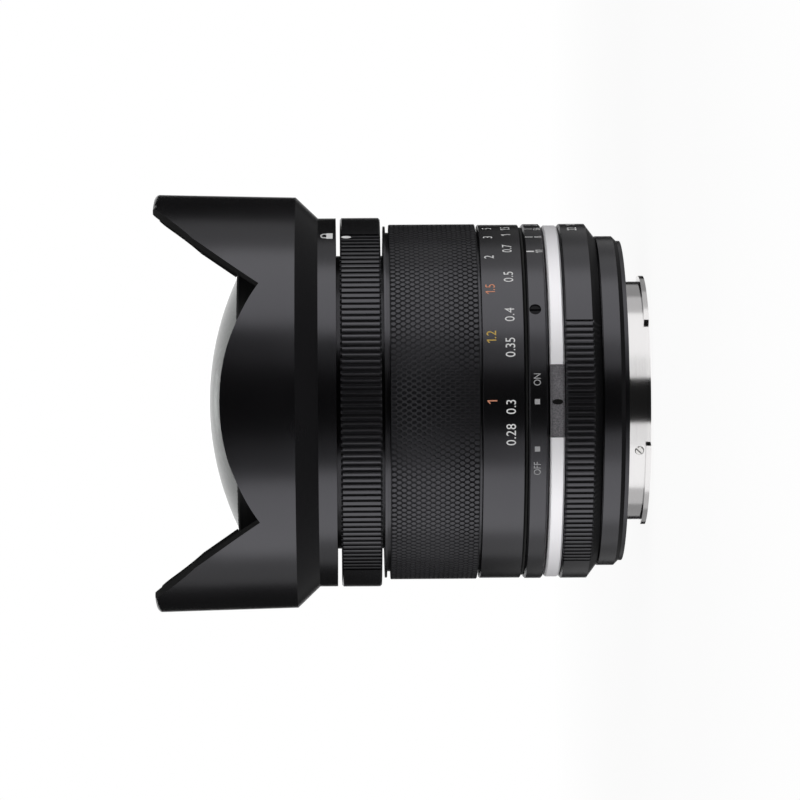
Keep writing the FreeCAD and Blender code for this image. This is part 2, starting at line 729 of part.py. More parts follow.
def radial_screws(name, turn, height, radius, start, end, count, slot_depth):
    """Slotted headless screws that point at the axis."""
    body = new_body(name)
    sketch = radial_sketch(body, turn, start)
    disc(sketch, height, radius)
    shaft = pad(body, sketch, end - start)
    sketch = radial_sketch(body, turn, end - slot_depth)
    half = radius * dim.screw_slot_share / 2
    draw(sketch, box_corners(-half, half, height - radius - cut, height + radius + cut))
    slot = pocket(body, sketch, slot_depth + cut)
    if count is not None:
        repeat(body, [shaft, slot], count)


def rear_baffle():
    body = new_body("rear_baffle")
    sketch = sketch_on(body, "XY_Plane", dim.baffle_height)
    disc(sketch, 0, dim.mount_bore_radius - dim.screw_fit)
    pad(body, sketch, dim.baffle_thickness)
    sketch = sketch_on(body, "XY_Plane", dim.baffle_height - cut)
    half_width = dim.baffle_opening_width / 2
    half_height = dim.baffle_opening_height / 2
    draw(sketch, box_corners(-half_height, half_height, -half_width, half_width))
    pocket(body, sketch, dim.baffle_thickness + 2 * cut)


def mount_gasket():
    outside = dim.mount_flange_radius + dim.gasket_width
    turned("mount_gasket", [
        (dim.mount_flange_radius, dim.gasket_setback),
        (outside, dim.gasket_setback),
        (outside, base_rear),
        (dim.mount_flange_radius, base_rear),
    ])


def rear_barrel():
    body = turned("rear_barrel", [
        (dim.mount_flange_radius, base_rear),
        (dim.base_radius - dim.base_chamfer, base_rear),
        (dim.base_radius, base_rear + dim.base_chamfer),
        (dim.base_radius, base_top),
        (dim.sleeve_radius, base_top),
        (dim.sleeve_radius, index_rear),
        (sleeve_bore, index_rear),
        (sleeve_bore, web_front),
        (dim.web_bore_radius, web_front),
        (dim.web_bore_radius, web_rear),
        (dim.mount_flange_radius, web_rear),
    ])
    inside = sleeve_bore - cut
    outside = dim.sleeve_radius + cut
    lever_room = degrees_across(dim.lever_width, sleeve_bore) + dim.moving_room
    low = lever_low - dim.ring_gap
    high = lever_high + dim.ring_gap
    middle = dim.lever_turn + sweep_middle
    turn_off(body, [(inside, low), (outside, low), (outside, high), (inside, high)],
             middle, aperture_sweep + lever_room)
    floor = dim.sleeve_radius - dim.click_pocket_depth
    low = click_height - dim.click_spring_width / 2 - dim.ring_gap
    high = click_height + dim.click_spring_width / 2 + dim.ring_gap
    turn_off(body, [(floor, low), (outside, low), (outside, high), (floor, high)],
             dim.click_turn, dim.click_spring_sweep + dim.fixed_room)
    sketch = sketch_on(body, "XY_Plane", web_rear - cut, dim.mount_screw_turn)
    disc(sketch, 0, dim.mount_screw_radius + dim.screw_fit, mount_screw_circle)
    hole = pocket(body, sketch, dim.web_thickness + 2 * cut)
    repeat(body, [hole], dim.mount_screw_count)
    sketch = radial_sketch(body, dim.index_screw_turn, inside)
    disc(sketch, barrel_screw_height, dim.barrel_screw_radius + dim.screw_fit)
    hole = pocket(body, sketch, outside - inside)
    repeat(body, [hole], dim.barrel_screw_count)


# The turning rings and the fixed ring

index_screw_height = index_rear + dim.index_screw_height
index_screw_root = dim.sleeve_radius - dim.ring_chamfer
click_nose_circle = dim.sleeve_radius - dim.click_nose_radius / 4
lever_inside = dim.lever_radius - dim.lever_thickness
relief_radius = ring_bore + dim.relief_depth


def ring_outline(inside, outside, low, high, chamfer):
    return [
        (inside, low),
        (outside - chamfer, low),
        (outside, low + chamfer),
        (outside, high - chamfer),
        (outside - chamfer, high),
        (inside, high),
    ]


def aperture_ring():
    low_land = aperture_rear + dim.land_width
    high_land = aperture_front - dim.land_width
    body = turned("aperture_ring", [
        (ring_bore, aperture_rear),
        (dim.aperture_rear_radius, aperture_rear),
        (dim.ring_radius, aperture_rear + dim.aperture_taper_length),
        (dim.ring_radius, aperture_front - dim.ring_chamfer),
        (dim.ring_radius - dim.ring_chamfer, aperture_front),
        (ring_bore, aperture_front),
        (ring_bore, high_land),
        (relief_radius, high_land),
        (relief_radius, low_land),
        (ring_bore, low_land),
    ])
    rib_grooves(body, dim.ring_radius, aperture_rear, aperture_front,
                dim.aperture_rib_start, dim.aperture_rib_sweep)
    sketch = sketch_on(body, "XY_Plane", high_land - cut, dim.click_turn - dim.aperture_close_turn)
    disc(sketch, 0, dim.click_nose_radius + dim.running_fit, click_nose_circle)
    notch = pocket(body, sketch, dim.land_width + 2 * cut)
    count = Size(round(aperture_sweep.value / dim.click_step.value) + 1,
                 f"(round({aperture_sweep.formula} / {dim.click_step.formula}) + 1)")
    repeat(body, [notch], count, dim.click_step)


def aperture_lever():
    body = new_body("aperture_lever")
    half = dim.lever_width / 2
    sketch = sketch_on(body, "XY_Plane", lever_low, dim.lever_turn)
    draw(sketch, box_corners(lever_inside, relief_radius - dim.running_fit, -half, half))
    pad(body, sketch, dim.lever_foot_height)
    sketch = sketch_on(body, "XY_Plane", lever_low, dim.lever_turn)
    draw(sketch, box_corners(lever_inside, dim.lever_radius, -half, half))
    pad(body, sketch, cam_front + dim.focus_travel + dim.lever_reach - lever_low)


def click_spring():
    """A curved leaf with a round nose that drops into the aperture ring's notches."""
    body = new_body("click_spring")
    outside = dim.sleeve_radius - dim.click_spring_thickness
    inside = outside - dim.click_spring_thickness
    half = dim.click_spring_sweep / 2
    low = click_height - dim.click_spring_width / 2
    sketch = sketch_on(body, "XY_Plane", low, dim.click_turn)
    draw(sketch, [
        (inside * cosine(half), -(inside * sine(half)), inside * (1 - cosine(half))),
        (outside * cosine(half), -(outside * sine(half))),
        (outside * cosine(half), outside * sine(half), -(outside * (1 - cosine(half)))),
        (inside * cosine(half), inside * sine(half)),
    ])
    pad(body, sketch, dim.click_spring_width)
    sketch = sketch_on(body, "XY_Plane", low, dim.click_turn)
    disc(sketch, 0, dim.click_nose_radius, click_nose_circle)
    pad(body, sketch, dim.click_spring_width)


def declick_ring():
    body = turned("declick_ring", ring_outline(
        ring_bore, dim.declick_radius, declick_rear, declick_front, dim.ring_chamfer))
    floor = dim.declick_radius - dim.declick_pad_depth
    outside = dim.declick_radius + cut
    low = declick_rear + dim.ring_chamfer
    high = declick_front - dim.ring_chamfer
    turn_off(body, [(floor, low), (outside, low), (outside, high), (floor, high)],
             -90, dim.declick_pad_sweep)


def depth_of_field_ring():
    body = turned("depth_of_field_ring", ring_outline(
        index_seat, dim.ring_radius, index_rear, index_front, dim.ring_chamfer))
    sketch = radial_sketch(body, dim.index_screw_turn, index_seat - cut)
    disc(sketch, index_screw_height, dim.index_screw_radius + dim.screw_fit)
    hole = pocket(body, sketch, dim.ring_wall + 2 * cut)
    repeat(body, [hole], dim.barrel_screw_count)


def distance_ring():
    turned("distance_ring", ring_outline(
        dim.focus_sleeve_radius, dim.scale_radius, scale_rear, scale_front, dim.ring_chamfer / 2))


def focus_grip():
    turned("focus_grip", ring_outline(
        dim.focus_sleeve_radius, dim.grip_radius, grip_rear, grip_front, dim.ring_chamfer / 2))


# Guide barrel and focus

slot_half = dim.roller_radius + dim.roller_fit
groove_floor = ring_bore + dim.roller_reach + dim.groove_floor_gap


def guide_barrel():
    spigot_rear = index_rear - dim.spigot_length
    spigot_front = index_rear + dim.barrel_wall
    body = turned("guide_barrel", [
        (spigot_bore, spigot_rear),
        (sleeve_bore, spigot_rear),
        (sleeve_bore, index_rear),
        (index_seat, index_rear),
        (index_seat, index_front),
        (dim.sleeve_radius, index_front),
        (dim.sleeve_radius, neck_step),
        (dim.neck_radius, neck_step),
        (dim.neck_radius, neck_front),
        (neck_bore, neck_front),
        (neck_bore, neck_inner_step),
        (sleeve_bore, neck_inner_step),
        (sleeve_bore, spigot_front),
        (spigot_bore, spigot_front),
    ])
    sketch = radial_sketch(body, dim.roller_turn, sleeve_bore - cut)
    low = roller_height - dim.slot_margin
    high = roller_height + dim.focus_travel + dim.slot_margin
    draw(sketch, slot_corners(slot_half, low, high))
    slot = pocket(body, sketch, dim.barrel_wall + 2 * cut)
    repeat(body, [slot], dim.roller_count)
    sketch = radial_sketch(body, dim.index_screw_turn, spigot_bore - cut)
    disc(sketch, barrel_screw_height, dim.barrel_screw_radius + dim.screw_fit)
    hole = pocket(body, sketch, dim.spigot_wall + 2 * cut)
    repeat(body, [hole], dim.barrel_screw_count)
    sketch = radial_sketch(body, dim.index_screw_turn, index_screw_root)
    disc(sketch, index_screw_height, dim.index_screw_radius + dim.screw_fit)
    hole = pocket(body, sketch, index_seat - index_screw_root + cut)
    repeat(body, [hole], dim.barrel_screw_count)


def focus_sleeve():
    body = turned("focus_sleeve", [
        (ring_bore, scale_rear),
        (dim.focus_sleeve_radius, scale_rear),
        (dim.focus_sleeve_radius, flange_rear),
        (dim.focus_flange_radius, flange_rear),
        (dim.focus_flange_radius, flange_front),
        (ring_bore, flange_front),
    ])
    start = dim.roller_turn - 90 + dim.groove_margin
    rise = dim.focus_travel / dim.focus_turn
    middle = roller_height - rise * dim.groove_margin
    inside = ring_bore - dim.ring_gap
    sketch = sketch_on(body, "XZ_Plane", 0, start, Vector(0, 1, 0))
    draw(sketch, box_corners(inside, groove_floor, middle - slot_half, middle + slot_half))
    helix = body.newObject("PartDesign::SubtractiveHelix", "helical_groove")
    finish_feature(helix, sketch)
    helix.ReferenceAxis = (sketch, ["V_Axis"])
    helix.Mode = "pitch-height-angle"
    helix.LeftHanded = True
    bind(helix, "Pitch", rise * 360)
    bind(helix, "Height", rise * (dim.focus_turn + 2 * dim.groove_margin))
    repeat(body, [helix], dim.roller_count)
    low = scale_rear - cut
    high = index_front + dim.stop_key_height + dim.ring_gap
    outside = dim.focus_sleeve_radius + cut
    key_room = degrees_across(dim.stop_key_width, ring_bore) + dim.fixed_room
    turn_off(body, [(inside, low), (outside, low), (outside, high), (inside, high)],
             dim.stop_key_turn - dim.focus_turn / 2, dim.focus_turn + key_room)


def focus_stop_key():
    body = new_body("focus_stop_key")
    half = dim.stop_key_width / 2
    inside = ring_bore + dim.ring_gap
    sketch = sketch_on(body, "XY_Plane", index_front, dim.stop_key_turn)
    draw(sketch, box_corners(inside, index_seat, -half, half))
    pad(body, sketch, dim.stop_key_height)


def guide_rollers():
    """Three rollers, each with the stud that screws into the sliding barrel."""
    body = new_body("guide_rollers")
    start = slide_radius - dim.slide_wall
    sketch = radial_sketch(body, dim.roller_turn, start)
    disc(sketch, roller_height, dim.roller_stud_radius)
    stud = pad(body, sketch, sleeve_bore - start + dim.running_fit)
    sketch = radial_sketch(body, dim.roller_turn, sleeve_bore)
    disc(sketch, roller_height, dim.roller_radius)
    roller = pad(body, sketch, ring_bore + dim.roller_reach - sleeve_bore)
    repeat(body, [stud, roller], dim.roller_count)


# Lock

brake_rear = lock_rear + dim.brake_gap
brake_front = brake_rear + dim.brake_thickness


def lock_ring():
    bore = dim.neck_radius + dim.running_fit
    brake_room = dim.neck_radius + dim.brake_width + dim.brake_gap
    room_front = brake_front + dim.brake_gap
    relief = bore + dim.lock_relief_depth
    body = turned("lock_ring", [
        (brake_room, lock_rear),
        (dim.lock_radius - dim.ring_chamfer, lock_rear),
        (dim.lock_radius, lock_rear + dim.ring_chamfer),
        (dim.lock_radius, lock_front - dim.ring_chamfer),
        (dim.lock_radius - dim.ring_chamfer, lock_front),
        (bore, lock_front),
        (bore, lock_front - dim.lock_land),
        (relief, lock_front - dim.lock_land),
        (relief, room_front + dim.lock_land),
        (bore, room_front + dim.lock_land),
        (bore, room_front),
        (brake_room, room_front),
    ])
    rib_grooves(body, dim.lock_radius, lock_rear, lock_front, dim.lock_rib_start, dim.lock_rib_sweep)


def lock_brake_ring():
    inside = dim.neck_radius + dim.screw_fit
    outside = dim.neck_radius + dim.brake_width
    turned("lock_brake_ring", [
        (inside, brake_rear), (outside, brake_rear), (outside, brake_front), (inside, brake_front)])


# Hood

# How far a quarter circle of radius 1 stands off its chord
quarter_bulge = 1 - math.cos(math.radians(45))


def hood_inside(height):
    """Inner radius of the hood's petals at a height."""
    return waist_radius - dim.hood_wall + dim.hood_flare / dim.hood_length * (height - waist_height)


def petal_outline(distance):
    """What is cut away between the long petals, seen from the short petal's middle. It widens
    with the distance from the axis, so every cut edge is at one height through the wall."""
    corner = distance * tangent(dim.long_corner_turn)
    bend = distance * tangent(dim.long_edge_turn)
    notch = distance * tangent(dim.notch_turn)
    shoulder = distance * tangent(dim.petal_shoulder_turn)
    notch_height = hood_height - dim.notch_setback
    bend_height = hood_height - dim.long_edge_setback
    shoulder_height = hood_height - dim.petal_shoulder_setback
    top = hood_height + cut
    corner_bow = bow(corner - bend, hood_height - bend_height, dim.long_corner_bow)
    long_bow = bow(bend - notch, bend_height - notch_height, dim.long_edge_bow)
    short_bow = bow(notch - shoulder, shoulder_height - notch_height, dim.short_edge_bow)
    tip_bow = dim.petal_shoulder_setback - dim.short_petal_setback
    return [
        (-corner, top),
        (-corner, hood_height),
        (-bend, bend_height, corner_bow),
        (-notch, notch_height, long_bow),
        (-shoulder, shoulder_height, short_bow),
        (shoulder, shoulder_height, tip_bow),
        (notch, notch_height, short_bow),
        (bend, bend_height, long_bow),
        (corner, hood_height, corner_bow),
        (corner, top),
    ]


def bow(across, up, lift):
    """The bulge of an arc that stands lift higher than its chord."""
    return lift * across / root(across * across + up * up)


def petal_hood():
    ledge = waist_radius - dim.hood_wall - dim.hood_ledge
    edge = dim.hood_edge
    collar_inside = dim.hood_collar_radius - dim.ring_wall
    front_inside = hood_front_radius - dim.hood_wall
    body = turned("petal_hood", [
        (dim.neck_radius, hood_rear),
        (dim.hood_collar_radius, hood_rear),
        (dim.hood_collar_radius, collar_front),
        (waist_radius, waist_height),
        (hood_front_radius, hood_height - edge),
        (hood_front_radius - edge, hood_height, -(edge * quarter_bulge)),
        (front_inside, hood_height),
        (hood_inside(cover_ring_rear), cover_ring_rear),
        (ledge, cover_ring_rear),
        (ledge, waist_height),
        (collar_inside, collar_front),
        (collar_inside, floor_front),
        (dim.neck_radius, floor_front),
    ])
    near = front_inside * cosine(dim.long_corner_turn) - 3 * cut
    far = hood_front_radius + 2 * cut
    near_sketch = sketch_on(body, "XZ_Plane", near)
    draw(near_sketch, petal_outline(near))
    far_sketch = sketch_on(body, "XZ_Plane", far)
    draw(far_sketch, petal_outline(far))
    loft = body.newObject("PartDesign::SubtractiveLoft", "petal_cut")
    finish_feature(loft, near_sketch)
    loft.Sections = [(far_sketch, [""])]
    loft.Ruled = True
    mirror = body.newObject("PartDesign::Mirrored", "far_petal_cut")
    mirror.Originals = [loft]
    mirror.MirrorPlane = (origin_feature(body, "XZ_Plane"), [""])
    body.Tip = mirror


def hood_retaining_ring():
    outside = dim.neck_radius + dim.hood_nut_width
    turned("hood_retaining_ring", ring_outline(
        dim.neck_radius, outside, floor_front, neck_front, dim.ring_chamfer))


def front_cover_ring():
    inside = front_cell_radius + dim.cover_ring_clearance
    outside = hood_inside(cover_ring_rear) - dim.screw_fit
    high = cover_ring_rear + dim.cover_ring_thickness
    turned("front_cover_ring", [
        (inside, cover_ring_rear), (outside, cover_ring_rear), (outside, high), (inside, high)])


# Glass

def glass(element):
    corners = [
        (0, element.rear),
        (0, element.front),
        (element.front_clear, element.front_edge(), ON_AXIS),
        (element.rim, element.front_edge()),
        (element.rim, element.rear_edge()),
        (element.rear_clear, element.rear_edge()),
    ]
    kept = [corners[0] + (ON_AXIS,), corners[1], corners[2]]
    for corner in corners[3:]:
        last = kept[-1]
        moved = abs(as_size(corner[0]).value - as_size(last[0]).value)
        moved = moved + abs(as_size(corner[1]).value - as_size(last[1]).value)
        if moved > 1e-6:
            kept.append(corner)
    turned(element.name, kept)


# Cells and barrels of the optical unit

slide_radius = sleeve_bore - dim.running_fit
slide_neck_radius = neck_bore - dim.running_fit
slide_neck_bore = slide_neck_radius - dim.slide_wall
middle_flange_rear = slide_front - dim.middle_flange_setback
middle_flange_front = middle_flange_rear + dim.cell_flange
cell_front = first.front_edge() - dim.front_cell_setback
seat = dim.glass_seat


def seat_ring(name, inside, outside, low, high):
    turned(name, [(inside, low), (outside, low), (outside, high), (inside, high)])


def sliding_barrel():
    lip_rear = middle_flange_rear - dim.cell_flange
    lip_bore = slide_neck_bore - dim.cell_flange
    body = turned("sliding_barrel", [
        (slide_radius - dim.slide_wall, slide_rear),
        (slide_radius, slide_rear),
        (slide_radius, slide_shoulder),
        (slide_neck_radius, slide_shoulder),
        (slide_neck_radius, slide_front),
        (slide_neck_bore, slide_front),
        (slide_neck_bore, middle_flange_rear),
        (lip_bore, middle_flange_rear),
        (lip_bore, lip_rear),
        (slide_neck_bore, lip_rear),
        (slide_neck_bore, slide_shoulder - dim.slide_wall),
        (slide_radius - dim.slide_wall, slide_shoulder - dim.slide_wall),
    ])
    sketch = radial_sketch(body, dim.roller_turn, slide_radius - dim.slide_wall - cut)
    disc(sketch, roller_height, dim.roller_stud_radius + dim.screw_fit)
    hole = pocket(body, sketch, dim.slide_wall + 2 * cut)
    repeat(body, [hole], dim.roller_count)


def front_cell():
    skirt = slide_neck_bore - dim.skirt_clearance
    lip = third.front_clear - dim.spacer_width
    turned("front_cell", [
        (third.rim + seat, middle_flange_front),
        (skirt, middle_flange_front),
        (skirt, front_cell_step),
        (front_cell_radius, front_cell_step),
        (front_cell_radius, cell_front),
        (first.rim + seat, cell_front),
        (first.rim + seat, first.rear_edge()),
        (second.rim + seat, first.rear_edge()),
        (second.rim + seat, second.rear_edge()),
        (lip, second.rear_edge()),
        (lip, third.front_at(lip) + seat),
        (third.rim + seat, third.front_at(lip) + seat),
    ])


def front_retaining_ring():
    inside = first.rim - dim.retainer_overlap
    over_glass = first.front_at(inside) + seat
    front = over_glass + dim.thread_ring
    turned("front_retaining_ring", [
        (first.rim + seat, cell_front),
        (front_cell_radius, cell_front),
        (front_cell_radius, front - dim.ring_chamfer),
        (front_cell_radius - dim.ring_chamfer, front),
        (inside, front),
        (inside, over_glass),
        (first.rim + seat, over_glass),
    ])


def front_spacer():
    outside = second.rim
    seat_ring("front_spacer", outside - dim.spacer_width + seat, outside,
              second.front_edge() + seat, first.rear_edge())


def third_retaining_ring():
    high = third.rear_edge() - seat
    seat_ring("third_retaining_ring", third.rear_clear, third.rim, high - dim.thread_ring, high)


iris_rear = ninth.front + dim.iris_gap
iris_plate_front = iris_rear + dim.iris_plate
blade_rear = iris_plate_front + dim.blade_layer / 2
cam_rear = blade_rear + dim.blade_layer * dim.blade_count
cam_front = cam_rear + dim.cam_ring_thickness
iris_flange_rear = cam_front + dim.ring_gap
iris_bore = dim.cam_ring_radius + dim.running_fit
fork_slot = dim.lever_width + 2 * dim.pin_fit
fork_width = fork_slot + 2 * dim.cell_wall
iris_radius = iris_bore + dim.iris_wall


def middle_cell():
    outside = fourth.rim + seat + dim.cell_wall
    web = sixth.rim - dim.spacer_width
    front = fourth.front_at(fourth.rim - dim.spacer_width) + seat + dim.thread_ring
    iris_flange_front = iris_flange_rear + dim.cell_flange
    turned("middle_cell", [
        (sixth.rim + seat, iris_flange_rear),
        (iris_bore - seat, iris_flange_rear),
        (iris_bore - seat, iris_flange_front),
        (outside, iris_flange_front),
        (outside, middle_flange_rear),
        (slide_neck_bore - seat, middle_flange_rear),
        (slide_neck_bore - seat, middle_flange_front),
        (outside, middle_flange_front),
        (outside, front),
        (fourth.rim + seat, front),
        (fourth.rim + seat, fifth.rear_edge() - seat),
        (web, fifth.rear_edge() - seat),
        (web, sixth.front_at(web) + seat),
        (sixth.rim + seat, sixth.front_at(web) + seat),
    ])


def middle_retaining_ring():
    inside = fourth.rim - dim.spacer_width
    low = fourth.front_at(inside) + seat
    seat_ring("middle_retaining_ring", inside, fourth.rim, low, low + dim.thread_ring)


def iris_retaining_ring():
    inside = eighth.rim - dim.spacer_width
    seat_ring("iris_retaining_ring", inside, eighth.rim, iris_flange_rear, eighth.rear_at(inside) - seat)


def iris_housing():
    body = turned("iris_housing", [
        (dim.iris_hole_radius, iris_rear),
        (iris_radius, iris_rear),
        (iris_radius, iris_flange_rear + dim.cell_flange),
        (iris_bore, iris_flange_rear + dim.cell_flange),
        (iris_bore, iris_plate_front),
        (dim.iris_hole_radius, iris_plate_front),
    ])
    sketch = sketch_on(body, "XY_Plane", iris_rear - cut)
    disc(sketch, 0, dim.pivot_pin_radius + dim.pin_fit, dim.pivot_circle)
    hole = pocket(body, sketch, dim.iris_plate + 2 * cut)
    repeat(body, [hole], dim.blade_count)
    inside = iris_bore - cut
    outside = iris_radius + cut
    low = cam_rear - dim.ring_gap
    high = cam_front + dim.ring_gap
    arm_room = degrees_across(fork_width, iris_bore) + dim.moving_room
    turn_off(body, [(inside, low), (outside, low), (outside, high), (inside, high)],
             dim.lever_turn + sweep_middle, aperture_sweep + arm_room)


first_spacer_radius = ninth.rim - dim.spacer_width
second_spacer_radius = eleventh.rim - dim.spacer_width
third_spacer_radius = thirteenth.rim - dim.spacer_width
last_ring_radius = last.rim - dim.spacer_width


def rear_cell():
    outside = last.rim + seat + dim.cell_wall
    lip_rear = ninth.front_edge() + seat
    step_one = eleventh.front_at(first_spacer_radius)
    step_two = thirteenth.front_at(second_spacer_radius)
    step_three = last.front_edge() + seat
    turned("rear_cell", [
        (last.rim + seat, last.rear),
        (outside, last.rear),
        (outside, iris_rear - dim.cell_flange),
        (iris_radius, iris_rear - dim.cell_flange),
        (iris_radius, iris_rear),
        (ninth.rim - dim.spacer_width / 2, iris_rear),
        (ninth.rim - dim.spacer_width / 2, lip_rear),
        (ninth.rim + seat, lip_rear),
        (ninth.rim + seat, step_one),
        (eleventh.rim + seat, step_one),
        (eleventh.rim + seat, step_two),
        (thirteenth.rim + seat, step_two),
        (thirteenth.rim + seat, step_three),
        (last.rim + seat, step_three),
    ])


def spacer_rings():
    """Four separate rings that keep elements apart: one in the middle cell, three in the rear."""
    body = new_body("spacer_rings")
    middle_radius = sixth.rim - dim.spacer_width
    rows = [
        (sixth.rim, middle_radius, sixth.rear_at(middle_radius), seventh.front_at(middle_radius)),
        (ninth.rim, first_spacer_radius,
         tenth.rear_at(first_spacer_radius), eleventh.front_at(first_spacer_radius)),
        (eleventh.rim, second_spacer_radius,
         twelfth.rear_edge(), thirteenth.front_at(second_spacer_radius)),
        (thirteenth.rim, third_spacer_radius,
         thirteenth.rear_at(third_spacer_radius), last.front_at(thirteenth.rim)),
    ]
    for outside, inside, front, rear in rows:
        low = rear + seat
        high = front - seat
        turn_on(body, [(inside, low), (outside, low), (outside, high), (inside, high)])


def rear_retaining_ring():
    seat_ring("rear_retaining_ring", last_ring_radius, last.rim,
              last.rear, last.rear_at(last_ring_radius) - seat)


# Iris

blade_rest_turn = dim.blade_turn * dim.aperture_open_turn / aperture_sweep


def iris_blade(number):
    """A blade drawn open, its curve centred on the axis and its pivot on the X axis, then turned
    about its pivot to the rest mark and about the axis to its place."""
    body = new_body(f"iris_blade_{number + 1}")
    low = blade_rear + dim.blade_layer * number
    inside = dim.iris_open_radius
    outside = dim.blade_outer_radius
    heel = dim.heel_radius
    start = -degrees_across(heel, dim.pivot_circle)
    half = (dim.blade_sweep - start) / 2
    sketch = sketch_on(body, "XY_Plane", low, start + half)
    draw(sketch, [
        (inside * cosine(half), -(inside * sine(half)), inside * (1 - cosine(half))),
        (outside * cosine(half), -(outside * sine(half))),
        (outside * cosine(half), outside * sine(half), -(outside * (1 - cosine(half)))),
        (inside * cosine(half), inside * sine(half), -heel),
    ])
    pad(body, sketch, dim.blade_thickness)
    sketch = sketch_on(body, "XY_Plane", low)
    draw(sketch, box_corners(outside - 2 * heel, dim.pivot_circle, -heel, heel))
    pad(body, sketch, dim.blade_thickness)
    sketch = sketch_on(body, "XY_Plane", low)
    pivot = dim.pivot_circle
    draw(sketch, [
        (pivot - heel, -dim.drive_arm),
        (pivot + heel, -dim.drive_arm, ROUND_END),
        (pivot + heel, 0),
        (pivot - heel, 0, ROUND_END),
    ])
    pad(body, sketch, dim.blade_thickness)
    pin_end = iris_rear + dim.pin_fit
    sketch = sketch_on(body, "XY_Plane", pin_end)
    disc(sketch, 0, dim.pivot_pin_radius, pivot)
    pad(body, sketch, low - pin_end + dim.blade_thickness)
    sketch = sketch_on(body, "XY_Plane", low)
    disc(sketch, -dim.drive_arm, dim.drive_pin_radius, pivot)
    pad(body, sketch, cam_front - dim.pin_fit - low)
    place_blade(body, number)


def place_blade(body, number):
    place = 360 / dim.blade_count * number
    across = dim.pivot_circle * (1 - cosine(blade_rest_turn))
    up = -(dim.pivot_circle * sine(blade_rest_turn))
    x = across * cosine(place) - up * sine(place)
    y = across * sine(place) + up * cosine(place)
    turn = place + blade_rest_turn
    body.Placement = FreeCAD.Placement(
        Vector(x.value, y.value, 0), FreeCAD.Rotation(Vector(0, 0, 1), turn.value))
    bind(body, "Placement.Base.x", x)
    bind(body, "Placement.Base.y", y)
    bind(body, "Placement.Rotation.Angle", turn)


def drive_pin_path():
    """Where a drive pin runs in the cam ring, from open to closed, seen on the ring at rest."""
    steps = 8
    arm = dim.drive_arm.value
    points = []
    for step in range(steps + 1):
        share = step / steps
        blade = math.radians(dim.blade_turn.value * share)
        ring = dim.aperture_open_turn.value - aperture_sweep.value * share
        pin = Vector(dim.pivot_circle.value + arm * math.sin(blade), -arm * math.cos(blade), 0)
        points.append(FreeCAD.Rotation(Vector(0, 0, 1), ring).multVec(pin))
    path = Part.BSplineCurve()
    path.interpolate(points)
    return path


def slot_along(path, half_width):
    """The flat outline of a slot with round ends that follows a path."""
    steps = 12
    left = []
    right = []
    for step in range(steps + 1):
        place = path.FirstParameter + (path.LastParameter - path.FirstParameter) * step / steps
        point = path.value(place)
        way = Vector(path.tangent(place)[0]).normalize()
        side = Vector(-way.y, way.x, 0) * half_width
        left.append(point + side)
        right.append(point - side)
        if step == 0:
            start_tip = point - way * half_width
        end_tip = point + way * half_width
    left_side = Part.BSplineCurve()
    left_side.interpolate(left)
    right_side = Part.BSplineCurve()
    right_side.interpolate(right)
    return Part.Wire(Part.__sortEdges__([
        left_side.toShape(),
        Part.Arc(left[-1], end_tip, right[-1]).toShape(),
        right_side.toShape(),
        Part.Arc(right[0], start_tip, left[0]).toShape(),
    ]))


def iris_cam_ring():
    """A flat ring with nine curved slots, and a forked arm that the aperture lever turns."""
    thickness = dim.cam_ring_thickness.value
    low = Vector(0, 0, cam_rear.value)
    up = Vector(0, 0, 1)
    ring = Part.makeCylinder(dim.cam_ring_radius.value, thickness, low, up)
    half = fork_width.value / 2
    arm_start = (dim.cam_ring_bore.value + dim.cam_ring_radius.value) / 2
    arm_end = dim.lever_radius.value
    arm = Part.makeBox(arm_end - arm_start, 2 * half, thickness, Vector(arm_start, -half, low.z))
    half_gap = fork_slot.value / 2
    gap_start = lever_inside.value - 2 * dim.pin_fit.value
    gap = Part.makeBox(arm_end, 2 * half_gap, thickness, Vector(gap_start, -half_gap, low.z))
    arm = arm.cut(gap)
    arm.rotate(Vector(0, 0, 0), up, dim.lever_turn.value)
    ring = ring.fuse(arm)
    ring = ring.cut(Part.makeCylinder(dim.cam_ring_bore.value, thickness, low, up))
    outline = slot_along(drive_pin_path(), dim.drive_pin_radius.value + dim.pin_fit.value)
    slot = Part.Face(outline).extrude(Vector(0, 0, thickness))
    slot.translate(low)
    count = int(dim.blade_count.value)
    for number in range(count):
        cutter = slot.copy()
        cutter.rotate(Vector(0, 0, 0), up, 360 / count * number)
        ring = ring.cut(cutter)
    feature = doc.addObject("Part::Feature", "iris_cam_ring")
    feature.Label = "iris_cam_ring"
    feature.Shape = ring.Solids[0]
    feature.Placement = FreeCAD.Placement()
    pieces.append(feature)


